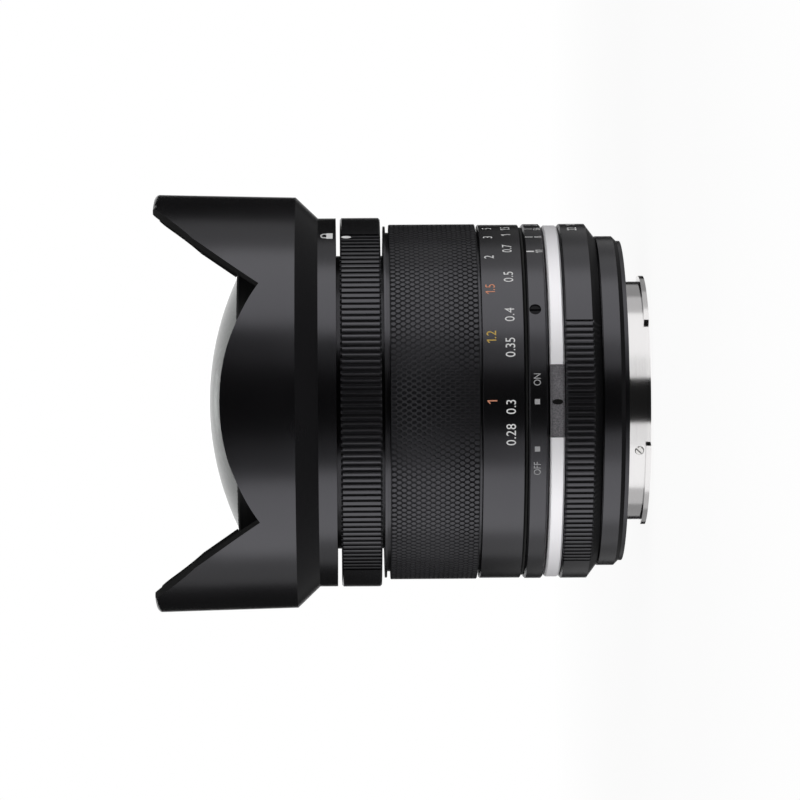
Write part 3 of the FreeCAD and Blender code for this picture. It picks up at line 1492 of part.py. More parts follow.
def build():
    bayonet_mount()
    mount_screws()
    radial_screws("bayonet_stop_screw", dim.stop_screw_turn, dim.stop_screw_height,
                  dim.stop_screw_radius, dim.mount_bore_radius + dim.stop_screw_lift,
                  dim.lug_tube_radius + dim.stop_screw_lift, None, dim.screw_slot_depth)
    rear_baffle()
    mount_gasket()
    rear_barrel()
    guide_barrel()
    radial_screws("barrel_screws", dim.index_screw_turn, barrel_screw_height,
                  dim.barrel_screw_radius, spigot_bore, dim.sleeve_radius - dim.screw_fit,
                  dim.barrel_screw_count, dim.screw_slot_depth)
    depth_of_field_ring()
    radial_screws("depth_ring_screws", dim.index_screw_turn, index_screw_height,
                  dim.index_screw_radius, index_screw_root + dim.screw_fit,
                  dim.ring_radius - dim.index_screw_sink, dim.barrel_screw_count, dim.index_slot_depth)
    aperture_ring()
    aperture_lever()
    click_spring()
    declick_ring()
    distance_ring()
    focus_grip()
    focus_sleeve()
    focus_stop_key()
    lock_ring()
    lock_brake_ring()
    petal_hood()
    hood_retaining_ring()
    front_cover_ring()
    sliding_barrel()
    guide_rollers()
    front_cell()
    front_retaining_ring()
    front_spacer()
    third_retaining_ring()
    middle_cell()
    middle_retaining_ring()
    iris_retaining_ring()
    iris_housing()
    rear_cell()
    spacer_rings()
    rear_retaining_ring()
    for element in lenses:
        glass(element)
    iris_cam_ring()
    for number in range(int(dim.blade_count.value)):
        iris_blade(number)


def check():
    for thing in doc.Objects:
        if "Invalid" in thing.State or "Error" in thing.State:
            raise RuntimeError(f"{thing.Name} failed: {thing.getStatusString()}")
    for piece in pieces:
        if piece.Shape.isNull() or not piece.Shape.isValid():
            raise RuntimeError(f"{piece.Label} has no valid shape")


build()
doc.recompute()
check()
os.makedirs("parts", exist_ok=True)
for piece in pieces:
    piece.Shape.exportStep(f"parts/{piece.Label}.step")
    box = piece.Shape.BoundBox
    print(f"{piece.Label}: {len(piece.Shape.Solids)} solids, {piece.Shape.Volume:.1f} cubic mm, "
          f"radius {box.XMax:.2f}, height {box.ZMin:.2f} to {box.ZMax:.2f}")
print(len(pieces), "pieces")
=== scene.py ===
import functools
import json
import math

import bmesh
import bpy
from bpy.props import FloatProperty, FloatVectorProperty, IntProperty, PointerProperty
from bpy.types import Operator, Panel, PropertyGroup
from mathutils import Matrix, Vector


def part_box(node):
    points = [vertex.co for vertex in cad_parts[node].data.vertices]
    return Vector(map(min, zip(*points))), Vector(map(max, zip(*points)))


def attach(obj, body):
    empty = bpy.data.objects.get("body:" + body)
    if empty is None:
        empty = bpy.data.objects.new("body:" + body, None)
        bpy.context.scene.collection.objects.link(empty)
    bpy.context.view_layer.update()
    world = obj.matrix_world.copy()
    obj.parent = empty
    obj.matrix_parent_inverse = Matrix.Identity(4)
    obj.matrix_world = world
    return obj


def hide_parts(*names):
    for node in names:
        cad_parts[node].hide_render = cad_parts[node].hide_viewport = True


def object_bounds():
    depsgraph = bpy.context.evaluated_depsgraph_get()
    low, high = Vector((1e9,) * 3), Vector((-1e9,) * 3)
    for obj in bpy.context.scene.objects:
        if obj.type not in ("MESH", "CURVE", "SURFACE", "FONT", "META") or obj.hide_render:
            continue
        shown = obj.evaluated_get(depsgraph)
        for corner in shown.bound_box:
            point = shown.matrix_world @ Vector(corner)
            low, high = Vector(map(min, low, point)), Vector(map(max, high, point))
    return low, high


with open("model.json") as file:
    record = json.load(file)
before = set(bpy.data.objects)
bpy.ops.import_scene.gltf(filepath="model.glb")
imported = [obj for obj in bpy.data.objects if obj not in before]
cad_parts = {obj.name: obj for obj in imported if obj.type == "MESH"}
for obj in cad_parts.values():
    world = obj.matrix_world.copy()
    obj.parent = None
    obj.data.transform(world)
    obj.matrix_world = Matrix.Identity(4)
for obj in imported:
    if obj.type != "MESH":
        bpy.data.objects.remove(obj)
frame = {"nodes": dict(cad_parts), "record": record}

bl_info = {
    "name": "Wide-angle prime lens",
    "version": (1, 0, 0),
    "blender": (4, 5, 0),
    "location": "View3D > Sidebar > Lens",
    "description": "Finishes, rubber, numbers and studio for a wide-angle lens whose solids are loaded",
    "category": "Object",
}

# Angles round the lens are in degrees from its front (the -Y side), towards +X, where the index is.
INDEX = 90
CAD_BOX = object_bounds()
MM = 0.001
WHITE = (1, 1, 1, 1)
OVAL_CORNERS = 24
SLOTS = {row["node"]: row["material_slot"] for row in frame["record"]["subparts"]}


def outside_radius(node):
    """The largest radius of a ring."""
    low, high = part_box(node)
    return (high.x - low.x) / 2


def middle_height(node):
    low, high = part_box(node)
    return (low.z + high.z) / 2


# Settings

class FinishSettings(PropertyGroup):
    """Colours of the finishes."""

    anodising: FloatVectorProperty(
        name="Black anodising", description="Colour of the barrels and rings",
        subtype="COLOR", size=3, min=0, max=1, default=(0.0013, 0.0012, 0.0014))
    rubber: FloatVectorProperty(
        name="Rubber", description="Colour of the focus grip",
        subtype="COLOR", size=3, min=0, max=1, default=(0.003, 0.003, 0.0035))
    silver: FloatVectorProperty(
        name="Silver ring", description="Colour of the de-click ring",
        subtype="COLOR", size=3, min=0, max=1, default=(0.96, 0.95, 0.97))
    pad: FloatVectorProperty(
        name="Pad", description="Colour of the sunk pad in the silver ring",
        subtype="COLOR", size=3, min=0, max=1, default=(0.13, 0.125, 0.135))
    mount: FloatVectorProperty(
        name="Mount", description="Colour of the plated bayonet",
        subtype="COLOR", size=3, min=0, max=1, default=(0.58, 0.57, 0.57))
    white_paint: FloatVectorProperty(
        name="White paint", description="Colour of most numbers",
        subtype="COLOR", size=3, min=0, max=1, default=(0.85, 0.85, 0.85))
    amber_paint: FloatVectorProperty(
        name="Amber paint", description="Colour of one of the feet numbers",
        subtype="COLOR", size=3, min=0, max=1, default=(0.62, 0.42, 0.1))
    grey_paint: FloatVectorProperty(
        name="Grey paint", description="Colour of the switch words and their squares",
        subtype="COLOR", size=3, min=0, max=1, default=(0.42, 0.42, 0.43))
    black_paint: FloatVectorProperty(
        name="Black paint", description="Colour of the oval on the silver ring",
        subtype="COLOR", size=3, min=0, max=1, default=(0.002, 0.002, 0.002))
    red_paint: FloatVectorProperty(
        name="Red paint", description="Colour of two of the feet numbers",
        subtype="COLOR", size=3, min=0, max=1, default=(0.75, 0.32, 0.2))


class GripSettings(PropertyGroup):
    """Bumps of the rubber grip."""

    row_pitch: FloatProperty(
        name="Row pitch", description="From row to row of bumps, along the lens",
        subtype="DISTANCE", unit="LENGTH", min=0.0005, default=0.00098)
    pitch: FloatProperty(
        name="Pitch", description="From bump to bump, round the lens",
        subtype="DISTANCE", unit="LENGTH", min=0.0005, default=0.0012)
    bump_length: FloatProperty(
        name="Bump length", description="A bump's size along the lens",
        subtype="DISTANCE", unit="LENGTH", min=0.0001, default=0.0011)
    bump_width: FloatProperty(
        name="Bump width", description="A bump's size round the lens",
        subtype="DISTANCE", unit="LENGTH", min=0.0001, default=0.00088)
    bump_height: FloatProperty(
        name="Bump height", description="How far a bump stands up",
        subtype="DISTANCE", unit="LENGTH", min=0.00005, default=0.00011)
    bump_sides: IntProperty(
        name="Bump sides", description="Facets round a bump", min=4, max=24, default=8)


class MarkSettings(PropertyGroup):
    """Numbers and lines."""

    digit_height: FloatProperty(
        name="Digit height", description="Height of the distance and aperture numbers",
        subtype="DISTANCE", unit="LENGTH", min=0.0005, default=0.00195)
    digit_narrowing: FloatProperty(
        name="Digit width", description="Width of a digit as a share of the font's",
        min=0.3, max=1.5, default=0.89)
    small_digit_height: FloatProperty(
        name="Small digit height", description="Height of the numbers on the fixed ring",
        subtype="DISTANCE", unit="LENGTH", min=0.0005, default=0.00145)
    word_height: FloatProperty(
        name="Word height", description="Height of the two switch words",
        subtype="DISTANCE", unit="LENGTH", min=0.0005, default=0.00145)
    metres_row: FloatProperty(
        name="Row of metres", description="Middle of the metres, in front of the mount's flange",
        subtype="DISTANCE", unit="LENGTH", default=0.02418)
    feet_row: FloatProperty(
        name="Row of feet", description="Middle of the feet, in front of the mount's flange",
        subtype="DISTANCE", unit="LENGTH", default=0.02795)
    depth_row: FloatProperty(
        name="Row of depths", description="Middle of the fixed ring's numbers, in front of the flange",
        subtype="DISTANCE", unit="LENGTH", default=0.01765)
    switch_row: FloatProperty(
        name="Row of the switch", description="Middle of the switch words, in front of the flange",
        subtype="DISTANCE", unit="LENGTH", default=0.0189)
    aperture_row: FloatProperty(
        name="Row of apertures", description="Middle of the aperture numbers, in front of the flange",
        subtype="DISTANCE", unit="LENGTH", default=0.0104)
    line_width: FloatProperty(
        name="Line width", description="Width of a thin line",
        subtype="DISTANCE", unit="LENGTH", min=0.0001, default=0.00028)
    lift: FloatProperty(
        name="Paint thickness", description="How far paint stands off the metal",
        subtype="DISTANCE", unit="LENGTH", min=0.000001, default=0.00002)


class StageSettings(PropertyGroup):
    """Camera, lamps and floor."""

    camera_distance: FloatProperty(
        name="Camera distance", description="From the optical axis to the camera",
        subtype="DISTANCE", unit="LENGTH", default=0.88)
    camera_height: FloatProperty(
        name="Camera height", description="Camera above the mount's flange",
        subtype="DISTANCE", unit="LENGTH", default=0.057)
    aim_height: FloatProperty(
        name="Aim height", description="Point of the optical axis in the picture's middle",
        subtype="DISTANCE", unit="LENGTH", default=0.046)
    aim_side: FloatProperty(
        name="Aim side", description="Picture's middle beside the optical axis, towards the index",
        subtype="DISTANCE", unit="LENGTH", default=0.0004)
    focal_length: FloatProperty(
        name="Focal length", description="In millimetres, on a sensor 36 mm wide", default=189.3)
    roll: FloatProperty(
        name="Roll", description="Turn of the camera about its own axis",
        subtype="ANGLE", unit="ROTATION", default=math.radians(90.39))
    lamp_distance: FloatProperty(
        name="Lamp distance", description="From the lens to each upright soft box",
        subtype="DISTANCE", unit="LENGTH", default=0.8)
    side_brightness: FloatProperty(
        name="Side brightness", description="Brightness of the tall soft boxes beside the lens",
        default=1.5)
    rear_brightness: FloatProperty(
        name="Rear brightness", description="Brightness of the narrow boxes behind those", default=0.4)
    low_brightness: FloatProperty(
        name="Low brightness", description="Brightness of the low strips that the mount shows", default=1.5)
    front_brightness: FloatProperty(
        name="Front brightness", description="Brightness of the box above the camera", default=1.3)
    top_brightness: FloatProperty(
        name="Top brightness", description="Brightness of the box above the lens", default=0.4)
    back_brightness: FloatProperty(
        name="Back brightness", description="Brightness of the leaning box behind the lens", default=1.0)
    room_brightness: FloatProperty(
        name="Room brightness", description="Light from the rest of the room", default=0.012)
    floor: FloatVectorProperty(
        name="Floor", description="Colour of the floor",
        subtype="COLOR", size=3, min=0, max=1, default=(0.8, 0.8, 0.8))
    floor_width: FloatProperty(
        name="Floor width", description="Across the round floor",
        subtype="DISTANCE", unit="LENGTH", default=6.0)


# Shading by expressions

class Shade:
    """A number or vector inside a node tree. An expression on it adds the nodes that work it out."""

    def __init__(self, tree, socket):
        self.tree = tree
        self.socket = socket

    def number(self, operation, *values):
        settings = {"operation": operation}
        return self.tree.node("ShaderNodeMath", settings, dict(enumerate(values)))

    def __add__(self, other):
        return self.number("ADD", self, other)

    def __radd__(self, other):
        return self.number("ADD", other, self)

    def __sub__(self, other):
        return self.number("SUBTRACT", self, other)

    def __rsub__(self, other):
        return self.number("SUBTRACT", other, self)

    def __mul__(self, other):
        return self.number("MULTIPLY", self, other)

    def __rmul__(self, other):
        return self.number("MULTIPLY", other, self)

    def __truediv__(self, other):
        return self.number("DIVIDE", self, other)

    def __rtruediv__(self, other):
        return self.number("DIVIDE", other, self)

    def __pow__(self, other):
        return self.number("POWER", self, other)

    def __rpow__(self, other):
        return self.number("POWER", other, self)

    def __abs__(self):
        return self.number("ABSOLUTE", self)

    def above(self, other):
        return self.number("GREATER_THAN", self, other)

    def below(self, other):
        return self.number("LESS_THAN", self, other)

    def or_else(self, other):
        return self.number("MAXIMUM", self, other)

    def back_and_forth(self, peak):
        return self.number("PINGPONG", self, peak)

    def angle_from(self, other):
        return self.number("ARCTAN2", self, other)

    def within(self, low, high):
        """0 at low, 1 at high, and a straight rise between them."""
        settings = {"interpolation_type": "LINEAR", "clamp": True}
        return self.tree.node("ShaderNodeMapRange", settings, {0: self, 1: low, 2: high, 3: 0.0, 4: 1.0})


class Tree:
    """The node tree of a material or of the world."""

    def __init__(self, owner):
        owner.use_nodes = True
        self.nodes = owner.node_tree.nodes
        self.links = owner.node_tree.links
        self.nodes.clear()

    def node(self, kind, settings, values, output=0):
        """Adds a node: first its settings, then the values or links of its sockets."""
        node = self.nodes.new(kind)
        for name, setting in settings.items():
            setattr(node, name, setting)
        for key, value in values.items():
            socket = node.inputs[key]
            if isinstance(value, Shade):
                self.links.new(value.socket, socket)
            else:
                socket.default_value = value
        if len(node.outputs) == 0:
            return None
        return Shade(self, node.outputs[output])

    def split(self, vector):
        first = self.node("ShaderNodeSeparateXYZ", {}, {0: vector})
        return [Shade(self, output) for output in first.socket.node.outputs]

    def join(self, across, along, up):
        return self.node("ShaderNodeCombineXYZ", {}, {0: across, 1: along, 2: up})

    def blend(self, factor, first, second):
        """The first colour where the factor is 0, the second where it is 1."""
        settings = {"data_type": "RGBA"}
        return self.node("ShaderNodeMix", settings, {0: factor, 6: first, 7: second}, output=2)

    def place(self):
        """Where a point is, in metres: across, along and up."""
        coordinates = self.node("ShaderNodeTexCoord", {}, {}, output="Object")
        return self.split(coordinates)

    def noise(self, across, along, up, scale, detail=2.0):
        """Noise from 0 to 1, with scale spots to a metre."""
        vector = self.join(across, along, up)
        values = {"Vector": vector, "Scale": scale, "Detail": detail}
        return self.node("ShaderNodeTexNoise", {}, values)

    def bump(self, height, strength, distance, under=None):
        """A bump, on top of the one under it."""
        values = {"Height": height, "Strength": strength, "Distance": distance}
        if under:
            values["Normal"] = under
        return self.node("ShaderNodeBump", {}, values)

    def principled(self, values):
        return self.node("ShaderNodeBsdfPrincipled", {}, values)

    def surface(self, shader):
        self.node("ShaderNodeOutputMaterial", {}, {"Surface": shader})


def opaque(colour, share=1.0):
    """A colour, or so much of it, as a socket takes it."""
    return (*[part * share for part in colour], 1.0)


def new_material(name):
    material = bpy.data.materials.new(name)
    return material, Tree(material)


def turned_grain(tree, lines):
    """Noise in rings about the optical axis, as a lathe leaves it, with so many lines to a metre."""
    across, along, up = tree.place()
    radius = (across * across + along * along) ** 0.5
    return tree.noise(radius, 0.0, up, lines, 3.0)


# Finishes, with depths in metres

BLACK_SHINE = 1.7
BLACK_ROUGHNESS = 0.26
BLACK_GRAIN = 0.008
RUBBER_SHINE = 1.6
COOL_TINT = (0.93, 0.92, 1.0, 1.0)
GREEN_TINT = (0.75, 0.85, 0.8, 1.0)
GRAIN_DEPTH = 0.00002
SPECKLE_DEPTH = 0.00003


def satin(tree, colour, ribbed=None):
    """Satin black: faint rings from turning, faint clouds in its sheen, and rounded ribs if it has any."""
    across, along, up = tree.place()
    clouds = tree.noise(across, along, up, 60.0)
    grain = turned_grain(tree, 5000.0)
    bump = tree.bump(grain, BLACK_GRAIN, GRAIN_DEPTH)
    roughness = BLACK_ROUGHNESS
    if ribbed:
        height, dullness = ribs(tree, *ribbed)
        bump = tree.bump(height, 1.0, 1.0, bump)
        roughness = roughness + dullness * 0.5
    return tree.principled({
        "Base Color": tree.blend(clouds, opaque(colour, 0.85), opaque(colour, 1.15)),
        "Roughness": roughness + (clouds - 0.5) * 0.05 + (grain - 0.5) * 0.01,
        "IOR": BLACK_SHINE,
        "Specular Tint": COOL_TINT,
        "Normal": bump,
    })


def outwardness(tree):
    """1 where a surface faces away from the optical axis, 0 where it faces along it or round it."""
    across, along, _ = tree.place()
    normal = tree.node("ShaderNodeNewGeometry", {}, {}, output="True Normal")
    sideways, forwards, _ = tree.split(normal)
    return (sideways * across + forwards * along) / (across * across + along * along) ** 0.5


def ribs(tree, node, first, sweep):
    """Two masks of a ring with grooves from the first on, in degrees from the front.

    The height rounds the lands, and the dullness is 1 on the walls and floors of the grooves.
    """
    pitch = 2.0
    rounding = 0.002
    shallow = 0.2 * MM
    facing_out = 0.95
    facing_round = 0.5
    outside = outside_radius(node)
    across, along, _ = tree.place()
    turn = across.angle_from(0.0 - along) * math.degrees(1)
    ribbed = turn.above(first) * turn.below(first + sweep)
    from_groove = (turn - first).back_and_forth(pitch / 2)
    from_middle = (pitch / 2 - from_groove) * (math.radians(1) * outside)
    height = ribbed * from_middle * from_middle * (-0.5 / rounding)
    facing = outwardness(tree)
    radius = (across * across + along * along) ** 0.5
    floor = facing.above(facing_out) * radius.below(outside - shallow)
    dullness = ribbed * facing.below(facing_round).or_else(floor)
    return height, dullness


def anodised(name, colour, ribbed=None):
    """Anodised aluminium."""
    material, tree = new_material(name)
    tree.surface(satin(tree, colour, ribbed))
    return material


def hood_black(name, colour):
    """Satin black on the hood's outside, and flat black inside it and on its cut edges."""
    material, tree = new_material(name)
    across, along, up = tree.place()
    mottle = tree.noise(across, along, up, 200.0)
    speckle = tree.noise(across, along, up, 5000.0)
    flat = tree.principled({
        "Base Color": tree.blend(mottle, (0.002, 0.002, 0.002, 1.0), (0.004, 0.004, 0.0042, 1.0)),
        "Roughness": 0.75,
        "Specular IOR Level": 0.2,
        "Normal": tree.bump(speckle, 0.08, SPECKLE_DEPTH),
    })
    outside = satin(tree, colour)
    outer_side = outwardness(tree).within(0.5, 0.65)
    tree.surface(tree.node("ShaderNodeMixShader", {}, {0: outer_side, 1: flat, 2: outside}))
    return material


def rubber(name, colour, crest=None):
    """Rubber with a slight bloom; where it has bumps, duller below its crest and darkened there by painted
    shade.
    """
    material, tree = new_material(name)
    across, along, up = tree.place()
    bloom = tree.noise(across, along, up, 150.0)
    speckle = tree.noise(across, along, up, 6000.0)
    roughness = 0.3 + (bloom - 0.5) * 0.08
    shade = tree.blend(bloom, opaque(colour, 0.8), opaque(colour, 1.3))
    if crest:
        valley_depth = 0.00007
        radius = (across * across + along * along) ** 0.5
        valley_dullness_and_shade = radius.within(crest, crest - valley_depth)
        roughness = roughness + valley_dullness_and_shade * 0.4
        # Painted shade: the colour falls to 0.3 of itself from the bumps' crest down into the valleys
        # between them.
        shade = tree.blend(valley_dullness_and_shade, shade, opaque(colour, 0.3))
    tree.surface(tree.principled({
        "Base Color": shade,
        "Roughness": roughness,
        "IOR": RUBBER_SHINE,
        "Specular Tint": COOL_TINT,
        "Normal": tree.bump(speckle, 0.08, SPECKLE_DEPTH),
    }))
    return material


def silver_ring(name, colour, pad_colour):
    """Blasted silver, with a darker, speckled pad at the front of the ring at rest."""
    material, tree = new_material(name)
    across, along, up = tree.place()
    speckle = tree.noise(across, along, up, 3500.0, 3.0)
    pad_half_turn = math.radians(11.6)
    turn = across.angle_from(0.0 - along)
    pad = abs(turn).below(pad_half_turn)
    dark = tree.blend(speckle.within(0.35, 0.7), opaque(pad_colour, 0.6), opaque(pad_colour, 1.4))
    tree.surface(tree.principled({
        "Base Color": tree.blend(pad, opaque(colour), dark),
        "Metallic": 1.0 - pad,
        "Roughness": 0.65 + (speckle - 0.5) * 0.1,
        "Normal": tree.bump(speckle, 0.08, GRAIN_DEPTH),
    }))
    return material


def bare_metal(name, colour, roughness, lines, grain_strength):
    """Turned metal, with rings that break up its reflections."""
    material, tree = new_material(name)
    across, along, up = tree.place()
    stain = tree.noise(across, along, up, 90.0)
    grain = turned_grain(tree, lines)
    tree.surface(tree.principled({
        "Base Color": tree.blend(stain, opaque(colour, 0.93), opaque(colour)),
        "Metallic": 1.0,
        "Roughness": roughness + (grain - 0.5) * 0.12 + (stain - 0.5) * 0.05,
        "Normal": tree.bump(grain, grain_strength, GRAIN_DEPTH),
    }))
    return material


def matte_black(name, colour, roughness, grooves):
    """Matte black against stray light, with fine grooves in rings."""
    material, tree = new_material(name)
    across, along, up = tree.place()
    radius = (across * across + along * along) ** 0.5
    wave = ((radius + up) * grooves).back_and_forth(1.0)
    clouds = tree.noise(across, along, up, 120.0)
    tree.surface(tree.principled({
        "Base Color": tree.blend(clouds, opaque(colour, 0.8), opaque(colour, 1.2)),
        "Roughness": roughness + (clouds - 0.5) * 0.1,
        "Normal": tree.bump(wave, 0.25, 0.00008),
    }))
    return material


def coated_glass(name):
    """Clear optical glass with a coating that takes most of the reflection away."""
    material, tree = new_material(name)
    across, along, up = tree.place()
    haze = tree.noise(across, along, up, 40.0)
    tree.surface(tree.principled({
        "Base Color": tree.blend(haze, (0.84, 0.86, 0.86, 1.0), (0.88, 0.9, 0.89, 1.0)),
        "Roughness": 0.004 + haze * 0.004,
        "IOR": 1.52,
        "Transmission Weight": 1.0,
        "Specular Tint": GREEN_TINT,
    }))
    return material


def paint(name, colour):
    """Paint in the numbers: flat, with an uneven sheen."""
    material, tree = new_material(name)
    across, along, up = tree.place()
    uneven = tree.noise(across, along, up, 1500.0)
    tree.surface(tree.principled({
        "Base Color": tree.blend(uneven, opaque(colour, 0.88), opaque(colour)),
        "Roughness": 0.5 + uneven * 0.15,
        "Specular IOR Level": 0.2,
    }))
    return material


def finishes(settings):
    """One material for each of the record's material slots."""
    black = settings.anodising
    return {
        "black_anodised": anodised("black_anodising", black),
        "rubber_grip": rubber("grip_rubber", settings.rubber, outside_radius("focus_grip")),
        "gasket_rubber": rubber("gasket_rubber", [part * 0.4 for part in settings.rubber]),
        "silver_anodised": silver_ring("silver_ring", settings.silver, settings.pad),
        "bright_mount": bare_metal(
            "plated_mount", settings.mount, roughness=0.15, lines=2500.0, grain_strength=0.04),
        "inner_black": matte_black(
            "inner_black", (0.006, 0.006, 0.0065), roughness=0.6, grooves=1600.0),
        "plastic_black": rubber("moulded_black", (0.009, 0.009, 0.01)),
        "brass": bare_metal(
            "brass", (0.72, 0.52, 0.24), roughness=0.28, lines=3000.0, grain_strength=0.1),
        "steel": bare_metal(
            "bright_steel", (0.58, 0.57, 0.56), roughness=0.25, lines=4000.0, grain_strength=0.08),
        "black_steel": bare_metal(
            "black_steel", (0.012, 0.012, 0.013), roughness=0.35, lines=4000.0, grain_strength=0.08),
        "coated_glass": coated_glass("coated_glass"),
    }


def own_finishes(settings):
    """Nodes whose black has something of its own. The ribs start and sweep so many degrees."""
    black = settings.anodising
    lock_ribs = ("lock_ring", -63.0, 126.0)
    aperture_ribs = ("aperture_ring", -62.2, 88.0)
    return {
        "lock_ring": anodised("lock_ring_black", black, lock_ribs),
        "aperture_ring": anodised("aperture_ring_black", black, aperture_ribs),
        "petal_hood": hood_black("hood_black", black),
    }


def dress(thing, material):
    thing.data.materials.clear()
    thing.data.materials.append(material)


def own_material(node):
    """The finish that a loaded solid was given."""
    return frame["nodes"][node].material_slots[0].material


# Making pieces

def new_piece(name, mesh, body):
    """An object from a bmesh, linked to the scene and riding on a body."""
    data = bpy.data.meshes.new(name)
    mesh.to_mesh(data)
    mesh.free()
    thing = bpy.data.objects.new(name, data)
    bpy.context.scene.collection.objects.link(thing)
    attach(thing, body)
    return thing


def on_ring(radius, turn, height):
    """A point on a ring, from its angle in degrees from the front."""
    angle = math.radians(turn)
    return Vector((radius * math.sin(angle), -radius * math.cos(angle), height))


def add_band(mesh, corners):
    """Adds a ring turned about the optical axis, whose corners are (radius, height)."""
    steps = 240
    rings = [[mesh.verts.new(on_ring(radius, 360 / steps * step, height)) for step in range(steps)]
             for radius, height in corners]
    for index, ring in enumerate(rings):
        following = rings[(index + 1) % len(rings)]
        upright = corners[index][0] == corners[(index + 1) % len(corners)][0]
        for step in range(steps):
            beside = (step + 1) % steps
            face = mesh.faces.new([ring[step], ring[beside], following[beside], following[step]])
            face.smooth = upright


def wrapped(mesh, radius, turn, height):
    """Bends a flat drawing round a ring: its across goes round the ring, its up along the axis."""
    for vert in mesh.verts:
        across, up = vert.co.x, vert.co.y
        vert.co = on_ring(radius, turn + math.degrees(across / radius), height + up)


@functools.lru_cache(maxsize=None)
def glyph(character):
    """A character of the built-in font: its points, and its faces as indices."""
    curve = bpy.data.curves.new("glyph", "FONT")
    curve.body = character
    curve.resolution_u = 4
    holder = bpy.data.objects.new("glyph", curve)
    bpy.context.scene.collection.objects.link(holder)
    bpy.context.view_layer.update()
    flat = bpy.data.meshes.new_from_object(holder.evaluated_get(bpy.context.evaluated_depsgraph_get()))
    bpy.data.objects.remove(holder)
    bpy.data.curves.remove(curve)
    points = [(vert.co.x, vert.co.y) for vert in flat.vertices]
    faces = [tuple(face.vertices) for face in flat.polygons]
    bpy.data.meshes.remove(flat)
    if character == "1":
        add_flag(points, faces)
    return points, faces


def add_flag(points, faces):
    """The slanting stroke at the top of a 1."""
    left = min(across for across, up in points)
    top = max(up for across, up in points)
    tall = top - min(up for across, up in points)
    first = len(points)
    points += [(left, top), (left, top - 0.17 * tall), (left - 0.27 * tall, top - 0.36 * tall),
               (left - 0.27 * tall, top - 0.22 * tall)]
    faces.append((first, first + 3, first + 2, first + 1))


def letters(words, height, narrowing):
    """A flat drawing of words or numbers, centred, and as high as asked."""
    gap = 0.11
    mesh = bmesh.new()
    cursor = 0.0
    for character in words:
        points, faces = glyph(character)
        left = min(across for across, up in points)
        verts = [mesh.verts.new((cursor + across - left, up, 0)) for across, up in points]
        for face in faces:
            mesh.faces.new([verts[index] for index in face])
        cursor += max(across for across, up in points) - left + gap
    bottom = min(vert.co.y for vert in mesh.verts)
    top = max(vert.co.y for vert in mesh.verts)
    scale = height / (top - bottom)
    for vert in mesh.verts:
        across = (vert.co.x - (cursor - gap) / 2) * scale * narrowing
        vert.co = Vector((across, (vert.co.y - (bottom + top) / 2) * scale, 0))
    return mesh


def plate(width, height, corners=None):
    """A flat drawing of a bar, or of an oval where it has many corners."""
    mesh = bmesh.new()
    if corners is None:
        halves = [(-0.5, -0.5), (0.5, -0.5), (0.5, 0.5), (-0.5, 0.5)]
    else:
        halves = [(math.cos(step * math.tau / corners) / 2, math.sin(step * math.tau / corners) / 2)
                  for step in range(corners)]
    mesh.faces.new([mesh.verts.new((across * width, up * height, 0)) for across, up in halves])
    return mesh


def added(whole, part):
    """Adds a drawing to another, and frees the one that was added."""
    copies = {vert: whole.verts.new(vert.co) for vert in part.verts}
    for face in part.faces:
        whole.faces.new([copies[vert] for vert in face.verts])
    part.free()


def marks(name, drawings, radius, body, material):
    """One piece of paint on a ring, from drawings at their places: (drawing, turn, height)."""
    whole = bmesh.new()
    lift = bpy.context.scene.lens_marks.lift
    for drawing, turn, height in drawings:
        wrapped(drawing, radius + lift, turn, height)
        added(whole, drawing)
    thing = new_piece(name, whole, body)
    dress(thing, material)
    return thing


def paints(context):
    """The paints, made once and then used again."""
    settings = context.scene.lens_finish
    colours = {"white_paint": settings.white_paint, "amber_paint": settings.amber_paint,
               "red_paint": settings.red_paint, "grey_paint": settings.grey_paint,
               "black_paint": settings.black_paint}
    for name, colour in colours.items():
        if name not in bpy.data.materials:
            paint(name, colour)
    return {name: bpy.data.materials[name] for name in colours}


# Operators

class LENS_OT_finishes(Operator):
    """Give every loaded solid its finish"""

    bl_idname = "lens.finishes"
    bl_label = "Finishes"

    def execute(self, context):
        made = finishes(context.scene.lens_finish)
        own = own_finishes(context.scene.lens_finish)
        for name, thing in frame["nodes"].items():
            dress(thing, own.get(name) or made[SLOTS[name]])
        return {"FINISHED"}


class LENS_OT_grip(Operator):
    """Build the rubber grip with its staggered bumps"""

    bl_idname = "lens.grip"
    bl_label = "Rubber grip"

    def execute(self, context):
        settings = context.scene.lens_grip
        low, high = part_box("focus_grip")
        top = outside_radius("focus_grip")
        floor = top - settings.bump_height
        recess = 1.3 * MM
        inside = outside_radius("focus_sleeve") - recess
        mesh = bmesh.new()
        add_band(mesh, [(inside, low.z), (floor, low.z), (floor, high.z), (inside, high.z)])
        rows = int((high.z - low.z - settings.bump_length) / settings.row_pitch) + 1
        spare = (high.z - low.z - (rows - 1) * settings.row_pitch) / 2
        count = round(math.tau * top / settings.pitch)
        for row in range(rows):
            height = low.z + spare + row * settings.row_pitch
            for place in range(count):
                turn = 360 / count * (place + 0.5 * (row % 2))
                self.bump(mesh, floor, turn, height, settings)
        thing = new_piece("grip_rubber", mesh, "focus")
        dress(thing, bpy.data.materials["grip_rubber"])
        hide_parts("focus_grip")
        return {"FINISHED"}

    def bump(self, mesh, floor, turn, height, settings):
        """A dome of two bands and a flat top."""
        sides = settings.bump_sides
        profile = [(1.0, -0.05), (0.97, 0.8), (0.88, 1.0)]
        rings = []
        for share, rise in profile:
            ring = []
            for side in range(sides):
                angle = math.tau * side / sides
                across = settings.bump_width / 2 * share * math.cos(angle)
                up = settings.bump_length / 2 * share * math.sin(angle)
                radius = floor + settings.bump_height * rise
                ring.append(mesh.verts.new(
                    on_ring(radius, turn + math.degrees(across / floor), height + up)))
            rings.append(ring)
        for lower, upper in zip(rings, rings[1:]):
            for side in range(sides):
                beside = (side + 1) % sides
                face = mesh.faces.new([lower[side], lower[beside], upper[beside], upper[side]])
                face.smooth = False
        mesh.faces.new(rings[-1])


